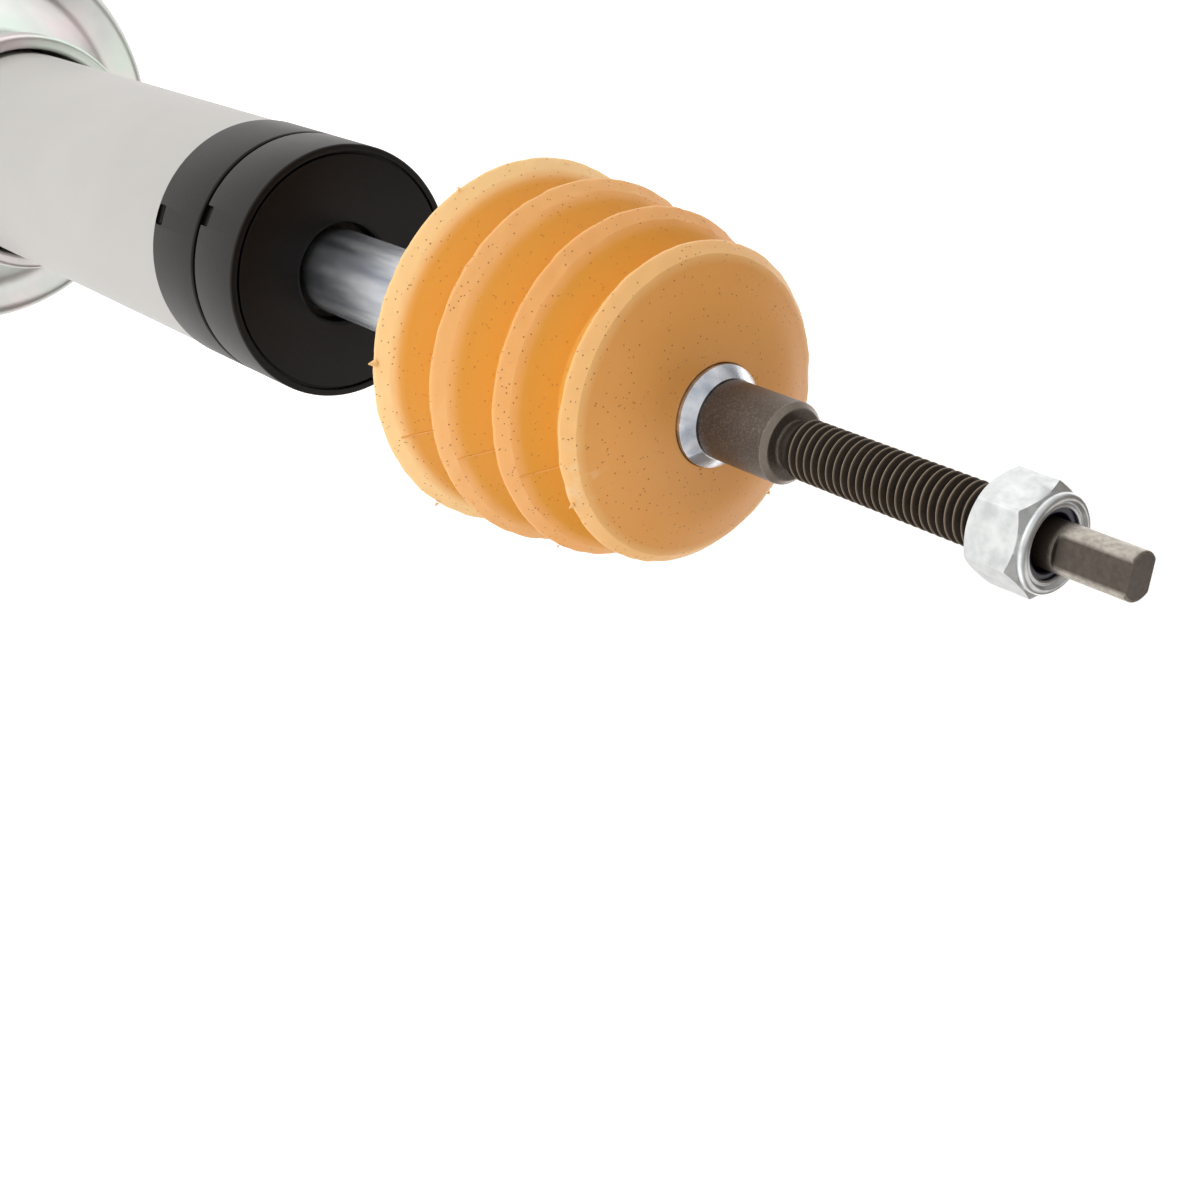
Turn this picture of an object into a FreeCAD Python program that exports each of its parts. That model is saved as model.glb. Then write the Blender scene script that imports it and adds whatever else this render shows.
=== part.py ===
import FreeCAD, Part
import math
import os

# A monotube leveling strut at full extension, in millimetres.
# The origin is the centre of the lower eye, +Z runs up the strut to the stem tip, and the eye's bore
# runs along Y. Every height below is counted from that origin unless its name says otherwise.

# Lower eye, its rubber bushing and the bolt sleeve
EYE_R = 23.0
EYE_BORE_R = 18.0
EYE_WIDTH = 36.0
EYE_NECK_TO_PLUG = 2.3
EYE_TO_BASE = 29.0
BUSHING_LIP = 2.0
BUSHING_LIP_R = 20.5
SLEEVE_R = 11.0
SLEEVE_LENGTH = 46.0
BOLT_BORE_R = 7.15

# Tube and its welded foot
TUBE_R = 32.5
TUBE_WALL = 3.5
TUBE_LENGTH = 326.0
BASE_FLANGE = 7.0
BASE_SPIGOT = 9.0
BASE_RIM = 9.0
BASE_DISH = 4.0
GAS_HOLE_R = 3.0
GAS_HOLE_INSET = 5.5
GAS_PLUG_HEAD_R = 4.2
GAS_PLUG_HEAD = 1.5
NECK_LENGTH = 36.5
NECK_WALL = 2.2

# Height-setting grooves, their snap ring and the spring seat that rests on it
CLIP_WIRE_R = 1.9
CLIP_SINK = 1.7
CLIP_Z = 137.0
CLIP_GROOVES = 3
CLIP_PITCH = 12.0
CLIP_OPENING = 16.0
SEAT_SHEET = 3.0
SEAT_LAND_GAP = 0.3
SEAT_MOUTH_GAP = 2.9
SEAT_MOUTH_DEPTH = 9.0
SEAT_MOUTH_TAPER = 8.0
SEAT_NECK = 35.0
SEAT_DROP = 19.5
SEAT_RIM_R = 68.0
SEAT_LIP = 8.0
SEAT_BEND_R = 9.0
SEAT_LIP_BEND_R = 2.5
BEND_FLATS = 2

# Black rings over the tube's turned neck
CAP_PROUD = 0.5
CAP_FACE = 6.0
CAP_RING_LENGTH = 22.3
CAP_SPLIT = 0.6
CAP_EDGE = 0.6
CAP_HOLE_R = 12.8
CAP_FACE_BEAD = 1.8
CAP_FACE_GROOVE = 0.7
CAP_FACE_GROOVE_DEPTH = 1.0
CAP_RIB = 2.5
NOTCHES = 2
NOTCH_DEPTH = 4.0
NOTCH_WIDTH = 5.4
FRONT_NOTCH_ANGLE = -92.0
REAR_NOTCH_ANGLE = -85.0

# Guide pack in the tube's top, counted down from the tube's end
RING_WIRE_R = 1.2
RING_BELOW_END = 7.4
WASHER = 3.5
WASHER_HOLE_R = 12.2
GUIDE_LENGTH = 42.0
GUIDE_HOLE_R = 11.6
GUIDE_WEB = 5.0
BUSH_WALL = 2.4
SEAL_R = 18.0
SEAL_HEIGHT = 10.0
SEAL_POCKET = 12.0
SEAL_LIP = 2.0
WIPER_R = 17.0
O_RING_SECTION = 3.0
O_RING_DEPTH = 2.6

# Rod and stem
ROD_R = 11.0
ROD_SHOWN = 145.5
ROD_CHAMFER = 1.2
STEM_R = 8.5
STEM_LENGTH = 21.5
STEM_CHAMFER = 1.1
STEM_UNDERCUT = 0.5
STEM_UNDERCUT_WIDTH = 1.6
THREAD_R = 6.2
THREAD_LENGTH = 59.8
THREAD_RELIEF = 2.4
THREAD_RELIEF_R = 5.0
TIP_R = 4.65
TIP_LENGTH = 22.2
TIP_CHAMFER = 0.6
TIP_FLATS = 6.4
TIP_FLAT_LENGTH = 15.0
TIP_FLAT_ANGLE = -73.0

# Lock nut with a nylon insert, run on until the thread meets the nylon
NUT_ACROSS_FLATS = 19.0
NUT_BELOW_THREAD_END = 8.3
NUT_HEX = 11.6
NUT_COLLAR_R = 9.35
NUT_COLLAR = 1.8
NUT_COLLAR_WALL = 1.5
NUT_LIP = 0.5
NUT_MOUTH_R = 6.7
NUT_CHAMFER = 1.6
NUT_CORNER_ANGLE = -46.0
INSERT_HEIGHT = 4.4
INSERT_BORE_R = 5.4

# Bump stop: each disc by the share of the length from the front end down to its widest circle, and by
# its share of the widest radius
BUMP_LENGTH = 70.0
BUMP_FACE_R = 21.0
BUMP_FACE_DROP = 2.2
BUMP_R = 42.6
BUMP_DISCS = ((0.144, 0.819), (0.386, 0.908), (0.656, 0.969), (0.937, 1.0))
BUMP_BAND = 3.0
BUMP_BAND_SLOPE = 2.6
BUMP_TAIL_SLOPE = 6.0
BUMP_GROOVE_DEPTH = 10.5
BUMP_GROOVE_FLAT = 2.4

# Rebound stop on the rod
BUMPER_R = 19.0
BUMPER_HEIGHT = 18.0
RETAINER_R = 16.5
RETAINER_HEIGHT = 6.0
RETAINER_GROOVE = 1.0
PISTON_SPACING = 35.0

# Piston and valve stack
SPIGOT_R = 7.0
PISTON_GAP = 0.3
PISTON_HEIGHT = 20.0
PISTON_LAND_R = 13.0
PISTON_RIM = 7.7
PISTON_RECESS = 1.2
PORTS = 6
PORT_R = 2.6
BAND_WIDTH = 12.0
BAND_THICKNESS = 2.0
SHIMS = 3
SHIM = 0.4
SHIM_LAP = 2.4
SHIM_STEP = 3.6
VALVE_WASHER = 3.0
VALVE_WASHER_R = 12.5
PISTON_NUT_ACROSS_FLATS = 22.0
PISTON_NUT = 12.0
SPIGOT_END = 2.0

# Dividing piston between oil and gas
DIVIDER_Z = 72.0
DIVIDER_HEIGHT = 22.0
DIVIDER_WALL = 7.0
DIVIDER_CROWN = 8.0
DIVIDER_BAND = 5.0
DIVIDER_LAND = 3.0

# Plain turned edges
EDGE = 1.0
BROAD_EDGE = 4.0

# Clearances
RUN = 0.05
SNUG = 0.03
SEAT_GAP = 0.3
LIFT = 0.1

# Values that follow from the sizes above
TUBE_BORE_R = TUBE_R - TUBE_WALL
BASE_DISH_R = TUBE_BORE_R - BASE_RIM
GAS_HOLE_OFFSET = TUBE_BORE_R - GAS_HOLE_INSET
EYE_NECK_R = GAS_HOLE_OFFSET - GAS_PLUG_HEAD_R - EYE_NECK_TO_PLUG
SEAT_MOUTH_R = TUBE_R + SEAT_MOUTH_GAP
CAP_R = TUBE_R + CAP_PROUD
CAP_FACE_GROOVE_R = CAP_R - CAP_FACE_BEAD
BASE_TOP = EYE_TO_BASE + BASE_FLANGE
TUBE_TOP = BASE_TOP + TUBE_LENGTH
NECK_R = TUBE_BORE_R + NECK_WALL
NECK_Z = TUBE_TOP - NECK_LENGTH
CAP_FACE_Z = TUBE_TOP + CAP_FACE
CAP_SPLIT_Z = NECK_Z + CAP_RING_LENGTH
RING_Z = TUBE_TOP - RING_BELOW_END
WASHER_TOP = RING_Z - RING_WIRE_R - SNUG
GUIDE_TOP = WASHER_TOP - WASHER
GUIDE_FOOT = GUIDE_TOP - GUIDE_LENGTH
ROD_TOP = CAP_FACE_Z + ROD_SHOWN
SHOULDER = ROD_TOP + STEM_LENGTH
THREAD_TOP = SHOULDER + THREAD_LENGTH
TIP_TOP = THREAD_TOP + TIP_LENGTH
NUT_FOOT = THREAD_TOP - NUT_BELOW_THREAD_END
NUT_HEX_TOP = NUT_FOOT + NUT_HEX
NUT_TOP = NUT_HEX_TOP + NUT_COLLAR
INSERT_TOP = NUT_TOP - NUT_LIP
INSERT_FOOT = INSERT_TOP - INSERT_HEIGHT
BUMP_FOOT = ROD_TOP - BUMP_LENGTH
BUMPER_TOP = GUIDE_FOOT - SEAT_GAP
RETAINER_TOP = BUMPER_TOP - BUMPER_HEIGHT
RETAINER_FOOT = RETAINER_TOP - RETAINER_HEIGHT
SPIGOT_TOP = RETAINER_FOOT - PISTON_SPACING
PISTON_TOP = SPIGOT_TOP - VALVE_WASHER - SHIMS * SHIM
PISTON_FOOT = PISTON_TOP - PISTON_HEIGHT
PISTON_R = TUBE_BORE_R - PISTON_GAP
PISTON_RECESS_R = PISTON_R - PISTON_RIM
PORT_CIRCLE_R = (PISTON_LAND_R + PISTON_RECESS_R) / 2
SHIM_R = PORT_CIRCLE_R + PORT_R + SHIM_LAP
BAND_R = TUBE_BORE_R - RUN
BAND_FOOT = PISTON_TOP - (PISTON_HEIGHT + BAND_WIDTH) / 2
LOWER_WASHER_FOOT = PISTON_FOOT - SHIMS * SHIM - VALVE_WASHER
PISTON_NUT_FOOT = LOWER_WASHER_FOOT - PISTON_NUT
SPIGOT_FOOT = PISTON_NUT_FOOT - SPIGOT_END
DIVIDER_TOP = DIVIDER_Z + DIVIDER_HEIGHT
CLIP_R = TUBE_R + CLIP_WIRE_R - CLIP_SINK
SEAT_LAND_R = TUBE_R + SEAT_LAND_GAP


def point(radius, height):
    """A point of an outline in the XZ plane."""
    return FreeCAD.Vector(radius, 0, height)


def outline(corners):
    """A closed outline from (radius, height) corners; a third value bends that corner in flats."""
    points = []
    count = len(corners)
    for index, corner in enumerate(corners):
        here = point(*corner[:2])
        if len(corner) == 2:
            points.append(here)
            continue
        back = (point(*corners[index - 1][:2]) - here).normalize()
        onward = (point(*corners[(index + 1) % count][:2]) - here).normalize()
        half = back.getAngle(onward) / 2
        sweep = math.pi - 2 * half
        centre = here + (back + onward).normalize() * (corner[2] / math.sin(half))
        start = here + back * (corner[2] / math.tan(half)) - centre
        end = here + onward * (corner[2] / math.tan(half)) - centre
        for step in range(BEND_FLATS + 1):
            turn = sweep * step / BEND_FLATS
            points.append(centre + (start * math.sin(sweep - turn) + end * math.sin(turn)) / math.sin(sweep))
    return Part.makePolygon(points + points[:1])


def turned(corners):
    """A solid of revolution about Z."""
    face = Part.Face(outline(corners))
    return face.revolve(FreeCAD.Vector(0, 0, 0), FreeCAD.Vector(0, 0, 1), 360)


def ring(inner, outer, low, high):
    """A plain ring or washer."""
    return turned(((inner, low), (outer, low), (outer, high), (inner, high)))


def disc(radius, low, high):
    """A plain round plug."""
    return Part.makeCylinder(radius, high - low, FreeCAD.Vector(0, 0, low))


def along_y(radius, length):
    """A cylinder along Y, centred on the origin."""
    return Part.makeCylinder(radius, length, FreeCAD.Vector(0, -length / 2, 0), FreeCAD.Vector(0, 1, 0))


def wire_outline(radius, height, wire):
    """The six-sided section of a ring of round wire, flats up and down."""
    corners = []
    for step in range(6):
        angle = math.radians(60 * step)
        corners.append((radius + wire * math.cos(angle), height + wire * math.sin(angle)))
    return corners


def hexagon(across_flats, low, high, corner_angle):
    """A hexagonal prism with one corner at the given angle."""
    corner_r = across_flats / math.sqrt(3)
    corners = []
    for step in range(7):
        angle = math.radians(corner_angle + 60 * step)
        corners.append(FreeCAD.Vector(corner_r * math.cos(angle), corner_r * math.sin(angle), low))
    return Part.Face(Part.makePolygon(corners)).extrude(FreeCAD.Vector(0, 0, high - low))


def slot_cutter(radius, width, low, high, angle):
    """A block that cuts a slot through a thin wall at one angle."""
    block = Part.makeBox(radius, width, high - low, FreeCAD.Vector(radius / 2, -width / 2, low))
    block.rotate(FreeCAD.Vector(0, 0, 0), FreeCAD.Vector(0, 0, 1), angle)
    return block


def lower_eye():
    body = along_y(EYE_R, EYE_WIDTH)
    body = body.fuse(disc(EYE_NECK_R, 0, EYE_TO_BASE))
    return body.cut(along_y(EYE_BORE_R, EYE_WIDTH + 2 * EYE_R)).removeSplitter()


def eye_bushing():
    half = EYE_WIDTH / 2
    inner = SLEEVE_R + RUN
    outer = EYE_BORE_R - SNUG
    end = half + BUSHING_LIP
    half_outline = ((inner, -end), (BUSHING_LIP_R - EDGE, -end), (BUSHING_LIP_R, -half - SNUG),
                    (outer, -half - SNUG), (outer, half + SNUG), (BUSHING_LIP_R, half + SNUG),
                    (BUSHING_LIP_R - EDGE, end), (inner, end))
    body = turned(half_outline)
    body.rotate(FreeCAD.Vector(0, 0, 0), FreeCAD.Vector(1, 0, 0), 90)
    return body


def eye_sleeve():
    return along_y(SLEEVE_R, SLEEVE_LENGTH).cut(along_y(BOLT_BORE_R, SLEEVE_LENGTH + 2))


def base_cap():
    spigot_top = BASE_TOP + BASE_SPIGOT
    spigot_r = TUBE_BORE_R - SNUG
    body = turned(((0, EYE_TO_BASE), (TUBE_R - EDGE, EYE_TO_BASE), (TUBE_R, EYE_TO_BASE + EDGE),
                   (TUBE_R, BASE_TOP), (spigot_r, BASE_TOP), (spigot_r, spigot_top),
                   (BASE_DISH_R + BASE_DISH, spigot_top), (BASE_DISH_R, spigot_top - BASE_DISH),
                   (0, spigot_top - BASE_DISH)))
    hole = Part.makeCylinder(GAS_HOLE_R, spigot_top, FreeCAD.Vector(GAS_HOLE_OFFSET, 0, 0))
    return body.cut(hole)


def gas_plug():
    top = BASE_TOP + BASE_SPIGOT - BASE_DISH
    shank = disc(GAS_HOLE_R - SNUG, EYE_TO_BASE - GAS_PLUG_HEAD, top)
    head = disc(GAS_PLUG_HEAD_R, EYE_TO_BASE - GAS_PLUG_HEAD, EYE_TO_BASE)
    socket = hexagon(GAS_HOLE_R, EYE_TO_BASE - GAS_PLUG_HEAD, EYE_TO_BASE + GAS_PLUG_HEAD, 0)
    plug = head.fuse(shank).cut(socket).removeSplitter()
    plug.translate(FreeCAD.Vector(GAS_HOLE_OFFSET, 0, 0))
    return plug


def clip_heights():
    """The groove heights, the used one first."""
    return [CLIP_Z - CLIP_PITCH * step for step in range(CLIP_GROOVES)]


def tube():
    body = turned(((TUBE_BORE_R, BASE_TOP), (TUBE_R - EDGE, BASE_TOP), (TUBE_R, BASE_TOP + EDGE),
                   (TUBE_R, NECK_Z), (NECK_R, NECK_Z), (NECK_R, TUBE_TOP), (TUBE_BORE_R, TUBE_TOP)))
    for height in clip_heights():
        body = body.cut(turned(wire_outline(CLIP_R, height, CLIP_WIRE_R + RUN)))
    return body.cut(turned(wire_outline(TUBE_BORE_R, RING_Z, RING_WIRE_R + SNUG)))


def seat_clip():
    body = turned(wire_outline(CLIP_R, CLIP_Z, CLIP_WIRE_R))
    return body.cut(slot_cutter(2 * CLIP_R, CLIP_OPENING, CLIP_Z - CLIP_R, CLIP_Z + CLIP_R, 90))


def spring_seat():
    """A pressed perch: flared mouth, land on the tube, cone on the clip, spring flange and lip."""
    mouth_top = CLIP_Z + SEAT_NECK + CLIP_WIRE_R
    land_top = mouth_top - SEAT_MOUTH_DEPTH - SEAT_MOUTH_TAPER
    cone_in = CLIP_Z + math.sqrt(2) * (CLIP_WIRE_R + SEAT_GAP) + CLIP_R - SEAT_LAND_R
    flange_low = cone_in - SEAT_DROP
    cone_low_r = SEAT_LAND_R + SEAT_DROP
    flange_top = flange_low + SEAT_SHEET
    shift = SEAT_SHEET * (math.sqrt(2) - 1)
    rim_low = flange_top - SEAT_LIP
    inner_rim = SEAT_RIM_R - SEAT_SHEET
    mouth_outer = SEAT_MOUTH_R + SEAT_SHEET
    land_outer = SEAT_LAND_R + SEAT_SHEET
    return turned((
        (SEAT_MOUTH_R, mouth_top), (SEAT_MOUTH_R, mouth_top - SEAT_MOUTH_DEPTH),
        (SEAT_LAND_R, land_top), (SEAT_LAND_R, cone_in),
        (cone_low_r, flange_low, SEAT_BEND_R + SEAT_SHEET), (inner_rim, flange_low, SEAT_LIP_BEND_R),
        (inner_rim, rim_low), (SEAT_RIM_R, rim_low),
        (SEAT_RIM_R, flange_top, SEAT_LIP_BEND_R + SEAT_SHEET),
        (cone_low_r + shift, flange_top, SEAT_BEND_R), (land_outer, cone_in + shift, SEAT_BEND_R),
        (land_outer, land_top), (mouth_outer, mouth_top - SEAT_MOUTH_DEPTH), (mouth_outer, mouth_top)))


def notched(body, foot, angle):
    """Cuts the small drain notches into a black ring's rear edge."""
    for step in range(NOTCHES):
        turn = angle + 360 * step / NOTCHES
        body = body.cut(slot_cutter(2 * CAP_R, NOTCH_WIDTH, foot, foot + NOTCH_DEPTH, turn))
    return body


def strike_cap():
    foot = CAP_SPLIT_Z + CAP_SPLIT
    rib_foot = WASHER_TOP + 2 * RING_WIRE_R
    inside = NECK_R + SNUG
    groove_floor = CAP_FACE_Z - CAP_FACE_GROOVE_DEPTH
    body = turned(((CAP_HOLE_R, TUBE_TOP), (WIPER_R + SNUG, TUBE_TOP), (WIPER_R + SNUG, rib_foot),
                   (WIPER_R + CAP_RIB, rib_foot), (WIPER_R + CAP_RIB, TUBE_TOP), (inside, TUBE_TOP),
                   (inside, foot), (CAP_R - CAP_EDGE, foot), (CAP_R, foot + CAP_EDGE),
                   (CAP_R, CAP_FACE_Z - CAP_EDGE), (CAP_R - CAP_EDGE, CAP_FACE_Z),
                   (CAP_FACE_GROOVE_R, CAP_FACE_Z), (CAP_FACE_GROOVE_R, groove_floor),
                   (CAP_FACE_GROOVE_R - CAP_FACE_GROOVE, groove_floor),
                   (CAP_FACE_GROOVE_R - CAP_FACE_GROOVE, CAP_FACE_Z), (CAP_HOLE_R, CAP_FACE_Z)))
    return notched(body, foot, FRONT_NOTCH_ANGLE)


def cap_ring():
    inside = NECK_R + SNUG
    body = turned(((inside, NECK_Z), (CAP_R - CAP_EDGE, NECK_Z), (CAP_R, NECK_Z + CAP_EDGE),
                   (CAP_R, CAP_SPLIT_Z - CAP_EDGE), (CAP_R - CAP_EDGE, CAP_SPLIT_Z), (inside, CAP_SPLIT_Z)))
    return notched(body, NECK_Z, REAR_NOTCH_ANGLE)


def rod_guide():
    outer = TUBE_BORE_R - RUN
    bush_r = ROD_R + RUN + BUSH_WALL + SNUG
    pocket = GUIDE_TOP - SEAL_POCKET
    groove_low = (GUIDE_FOOT + pocket) / 2
    groove_high = groove_low + O_RING_SECTION + 2 * LIFT
    return turned(((GUIDE_HOLE_R, GUIDE_FOOT), (outer, GUIDE_FOOT), (outer, groove_low),
                   (TUBE_BORE_R - O_RING_DEPTH, groove_low), (TUBE_BORE_R - O_RING_DEPTH, groove_high),
                   (outer, groove_high), (outer, GUIDE_TOP), (SEAL_R, GUIDE_TOP), (SEAL_R, pocket),
                   (bush_r, pocket), (bush_r, GUIDE_FOOT + GUIDE_WEB), (GUIDE_HOLE_R, GUIDE_FOOT + GUIDE_WEB)))


def guide_o_ring():
    low = (GUIDE_FOOT + GUIDE_TOP - SEAL_POCKET) / 2 + LIFT
    inner = TUBE_BORE_R - O_RING_DEPTH + SNUG
    return ring(inner, TUBE_BORE_R - SNUG, low, low + O_RING_SECTION)


def guide_bush():
    inner = ROD_R + RUN
    return ring(inner, inner + BUSH_WALL, GUIDE_FOOT + GUIDE_WEB, GUIDE_TOP - SEAL_POCKET)


def rod_seal():
    """A lip seal: two lips on the rod and a waist between them."""
    low = GUIDE_TOP - SEAL_POCKET
    high = low + SEAL_HEIGHT
    lip = ROD_R + RUN
    waist = lip + SEAL_LIP
    return turned(((lip, low), (SEAL_R - SNUG, low), (SEAL_R - SNUG, high), (waist, high),
                   (lip, high - SEAL_LIP), (waist, low + SEAL_HEIGHT / 2), (lip, low + SEAL_LIP)))


def seal_washer():
    return ring(WASHER_HOLE_R, TUBE_BORE_R - RUN, GUIDE_TOP, WASHER_TOP)


def guide_snap_ring():
    body = turned(wire_outline(TUBE_BORE_R, RING_Z, RING_WIRE_R))
    return body.cut(slot_cutter(2 * TUBE_R, 6 * RING_WIRE_R, WASHER_TOP, TUBE_TOP, 90))


def wiper_seal():
    lip = ROD_R + RUN
    top = TUBE_TOP - LIFT
    return turned(((lip + SEAL_LIP, WASHER_TOP), (WIPER_R, WASHER_TOP), (WIPER_R, top),
                   (lip, top), (lip + SEAL_LIP, top - 2 * SEAL_LIP)))


def piston_rod():
    """Rod, stem, thread and tip, turned from one bar, with two flats for holding it."""
    undercut = STEM_R - STEM_UNDERCUT
    groove = ROD_R - RETAINER_GROOVE
    relief_top = SHOULDER + THREAD_RELIEF
    run_out = THREAD_R - TIP_R
    body = turned((
        (0, SPIGOT_FOOT), (SPIGOT_R - EDGE, SPIGOT_FOOT), (SPIGOT_R, SPIGOT_FOOT + EDGE), (SPIGOT_R, SPIGOT_TOP),
        (ROD_R - EDGE, SPIGOT_TOP), (ROD_R, SPIGOT_TOP + EDGE), (ROD_R, RETAINER_FOOT - SNUG),
        (groove, RETAINER_FOOT - SNUG), (groove, RETAINER_TOP), (ROD_R, RETAINER_TOP),
        (ROD_R, ROD_TOP - ROD_CHAMFER), (ROD_R - ROD_CHAMFER, ROD_TOP),
        (undercut, ROD_TOP), (undercut, ROD_TOP + STEM_UNDERCUT_WIDTH),
        (STEM_R, ROD_TOP + STEM_UNDERCUT_WIDTH), (STEM_R, SHOULDER - STEM_CHAMFER),
        (STEM_R - STEM_CHAMFER, SHOULDER), (THREAD_RELIEF_R, SHOULDER), (THREAD_RELIEF_R, relief_top),
        (THREAD_R, relief_top + THREAD_R - THREAD_RELIEF_R), (THREAD_R, THREAD_TOP - run_out),
        (TIP_R, THREAD_TOP), (TIP_R, TIP_TOP - TIP_CHAMFER), (TIP_R - TIP_CHAMFER, TIP_TOP), (0, TIP_TOP)))
    for side in (0, 180):
        corner = FreeCAD.Vector(TIP_FLATS / 2, -TIP_R, TIP_TOP - TIP_FLAT_LENGTH)
        cutter = Part.makeBox(TIP_R, 2 * TIP_R, TIP_FLAT_LENGTH, corner)
        cutter.rotate(FreeCAD.Vector(0, 0, 0), FreeCAD.Vector(0, 0, 1), TIP_FLAT_ANGLE + side)
        body = body.cut(cutter)
    return body


def lock_nut():
    """A hexagon with turned corners and a collar whose lip is crimped over the insert."""
    corner_r = NUT_ACROSS_FLATS / math.sqrt(3)
    bore = THREAD_R + SNUG
    pocket_r = NUT_COLLAR_R - NUT_COLLAR_WALL
    slope = NUT_CHAMFER * math.tan(math.radians(30))
    envelope = turned(((0, NUT_FOOT), (corner_r - NUT_CHAMFER, NUT_FOOT), (corner_r, NUT_FOOT + slope),
                       (corner_r, NUT_HEX_TOP - slope), (corner_r - NUT_CHAMFER, NUT_HEX_TOP),
                       (0, NUT_HEX_TOP)))
    body = hexagon(NUT_ACROSS_FLATS, NUT_FOOT, NUT_HEX_TOP, NUT_CORNER_ANGLE).common(envelope)
    collar = turned(((0, NUT_HEX_TOP), (NUT_COLLAR_R, NUT_HEX_TOP), (NUT_COLLAR_R, NUT_TOP - EDGE),
                     (NUT_COLLAR_R - EDGE, NUT_TOP), (0, NUT_TOP)))
    bore_cut = turned(((0, NUT_FOOT), (bore + EDGE, NUT_FOOT), (bore, NUT_FOOT + EDGE), (bore, INSERT_FOOT),
                       (pocket_r, INSERT_FOOT), (pocket_r, INSERT_TOP), (NUT_MOUTH_R, INSERT_TOP),
                       (NUT_MOUTH_R, NUT_TOP), (0, NUT_TOP)))
    return body.fuse(collar).cut(bore_cut).removeSplitter()


def nut_insert():
    outer = NUT_COLLAR_R - NUT_COLLAR_WALL - SNUG
    return ring(INSERT_BORE_R, outer, INSERT_FOOT, INSERT_TOP)


def bump_stop():
    """A stack of discs, each with a sloping front band, and V grooves between them."""
    corners = [(ROD_R + LIFT, BUMP_FOOT), (ROD_R + LIFT, ROD_TOP - ROD_CHAMFER)]
    corners.append((BUMP_FACE_R, ROD_TOP - BUMP_FACE_DROP))
    for index, (drop_share, radius_share) in enumerate(BUMP_DISCS):
        widest = ROD_TOP - drop_share * BUMP_LENGTH
        radius = radius_share * BUMP_R
        if index:
            groove_z = (widest + BUMP_BAND + corners[-1][1]) / 2
            groove_r = radius - BUMP_GROOVE_DEPTH
            corners.append((groove_r, groove_z + BUMP_GROOVE_FLAT / 2))
            corners.append((groove_r, groove_z - BUMP_GROOVE_FLAT / 2))
        corners.append((radius - BUMP_BAND_SLOPE, widest + BUMP_BAND))
        corners.append((radius, widest))
    corners.append((BUMP_R - BUMP_TAIL_SLOPE, BUMP_FOOT))
    return turned(corners)


def rebound_bumper():
    return turned(((ROD_R + SNUG, RETAINER_TOP), (BUMPER_R, RETAINER_TOP), (BUMPER_R, BUMPER_TOP - BROAD_EDGE),
                   (BUMPER_R - BROAD_EDGE, BUMPER_TOP), (ROD_R + SNUG, BUMPER_TOP)))


def rebound_retainer():
    inner = ROD_R - RETAINER_GROOVE + SNUG
    return ring(inner, RETAINER_R, RETAINER_FOOT, RETAINER_TOP - SNUG)


def top_washer():
    return ring(SPIGOT_R + SNUG, VALVE_WASHER_R, SPIGOT_TOP - VALVE_WASHER, SPIGOT_TOP)


def shim_stack(widest_z, direction):
    """Spring steel discs, the widest on the piston, each its own solid."""
    discs = []
    for step in range(SHIMS):
        start = widest_z + direction * SHIM * step
        low = min(start, start + direction * SHIM)
        discs.append(ring(SPIGOT_R + SNUG, SHIM_R - SHIM_STEP * step, low, low + SHIM))
    return Part.makeCompound(discs)


def compression_shims():
    return shim_stack(PISTON_TOP, 1)


def rebound_shims():
    return shim_stack(PISTON_FOOT, -1)


def piston():
    """The piston: a groove for its band, recessed port faces and a ring of through ports."""
    floor = BAND_R - BAND_THICKNESS - RUN
    low = BAND_FOOT - LIFT
    high = BAND_FOOT + BAND_WIDTH + LIFT
    body = turned(((SPIGOT_R + SNUG, PISTON_FOOT), (PISTON_LAND_R, PISTON_FOOT),
                   (PISTON_LAND_R, PISTON_FOOT + PISTON_RECESS),
                   (PISTON_RECESS_R, PISTON_FOOT + PISTON_RECESS), (PISTON_RECESS_R, PISTON_FOOT),
                   (PISTON_R, PISTON_FOOT), (PISTON_R, low), (floor, low), (floor, high),
                   (PISTON_R, high), (PISTON_R, PISTON_TOP), (PISTON_RECESS_R, PISTON_TOP),
                   (PISTON_RECESS_R, PISTON_TOP - PISTON_RECESS),
                   (PISTON_LAND_R, PISTON_TOP - PISTON_RECESS), (PISTON_LAND_R, PISTON_TOP),
                   (SPIGOT_R + SNUG, PISTON_TOP)))
    for step in range(PORTS):
        angle = math.radians(360 * step / PORTS)
        foot = FreeCAD.Vector(PORT_CIRCLE_R * math.cos(angle), PORT_CIRCLE_R * math.sin(angle), PISTON_FOOT)
        body = body.cut(Part.makeCylinder(PORT_R, PISTON_HEIGHT, foot))
    return body


def piston_band():
    return ring(BAND_R - BAND_THICKNESS, BAND_R, BAND_FOOT, BAND_FOOT + BAND_WIDTH)


def bottom_washer():
    return ring(SPIGOT_R + SNUG, VALVE_WASHER_R, LOWER_WASHER_FOOT, LOWER_WASHER_FOOT + VALVE_WASHER)


def piston_nut():
    body = hexagon(PISTON_NUT_ACROSS_FLATS, PISTON_NUT_FOOT, LOWER_WASHER_FOOT, 0)
    return body.cut(disc(SPIGOT_R + SNUG, PISTON_NUT_FOOT, LOWER_WASHER_FOOT))


def divider_groove_heights():
    """The feet of the band's groove and of the O-ring's groove."""
    return DIVIDER_Z + DIVIDER_LAND, DIVIDER_TOP - DIVIDER_LAND - O_RING_SECTION


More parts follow.
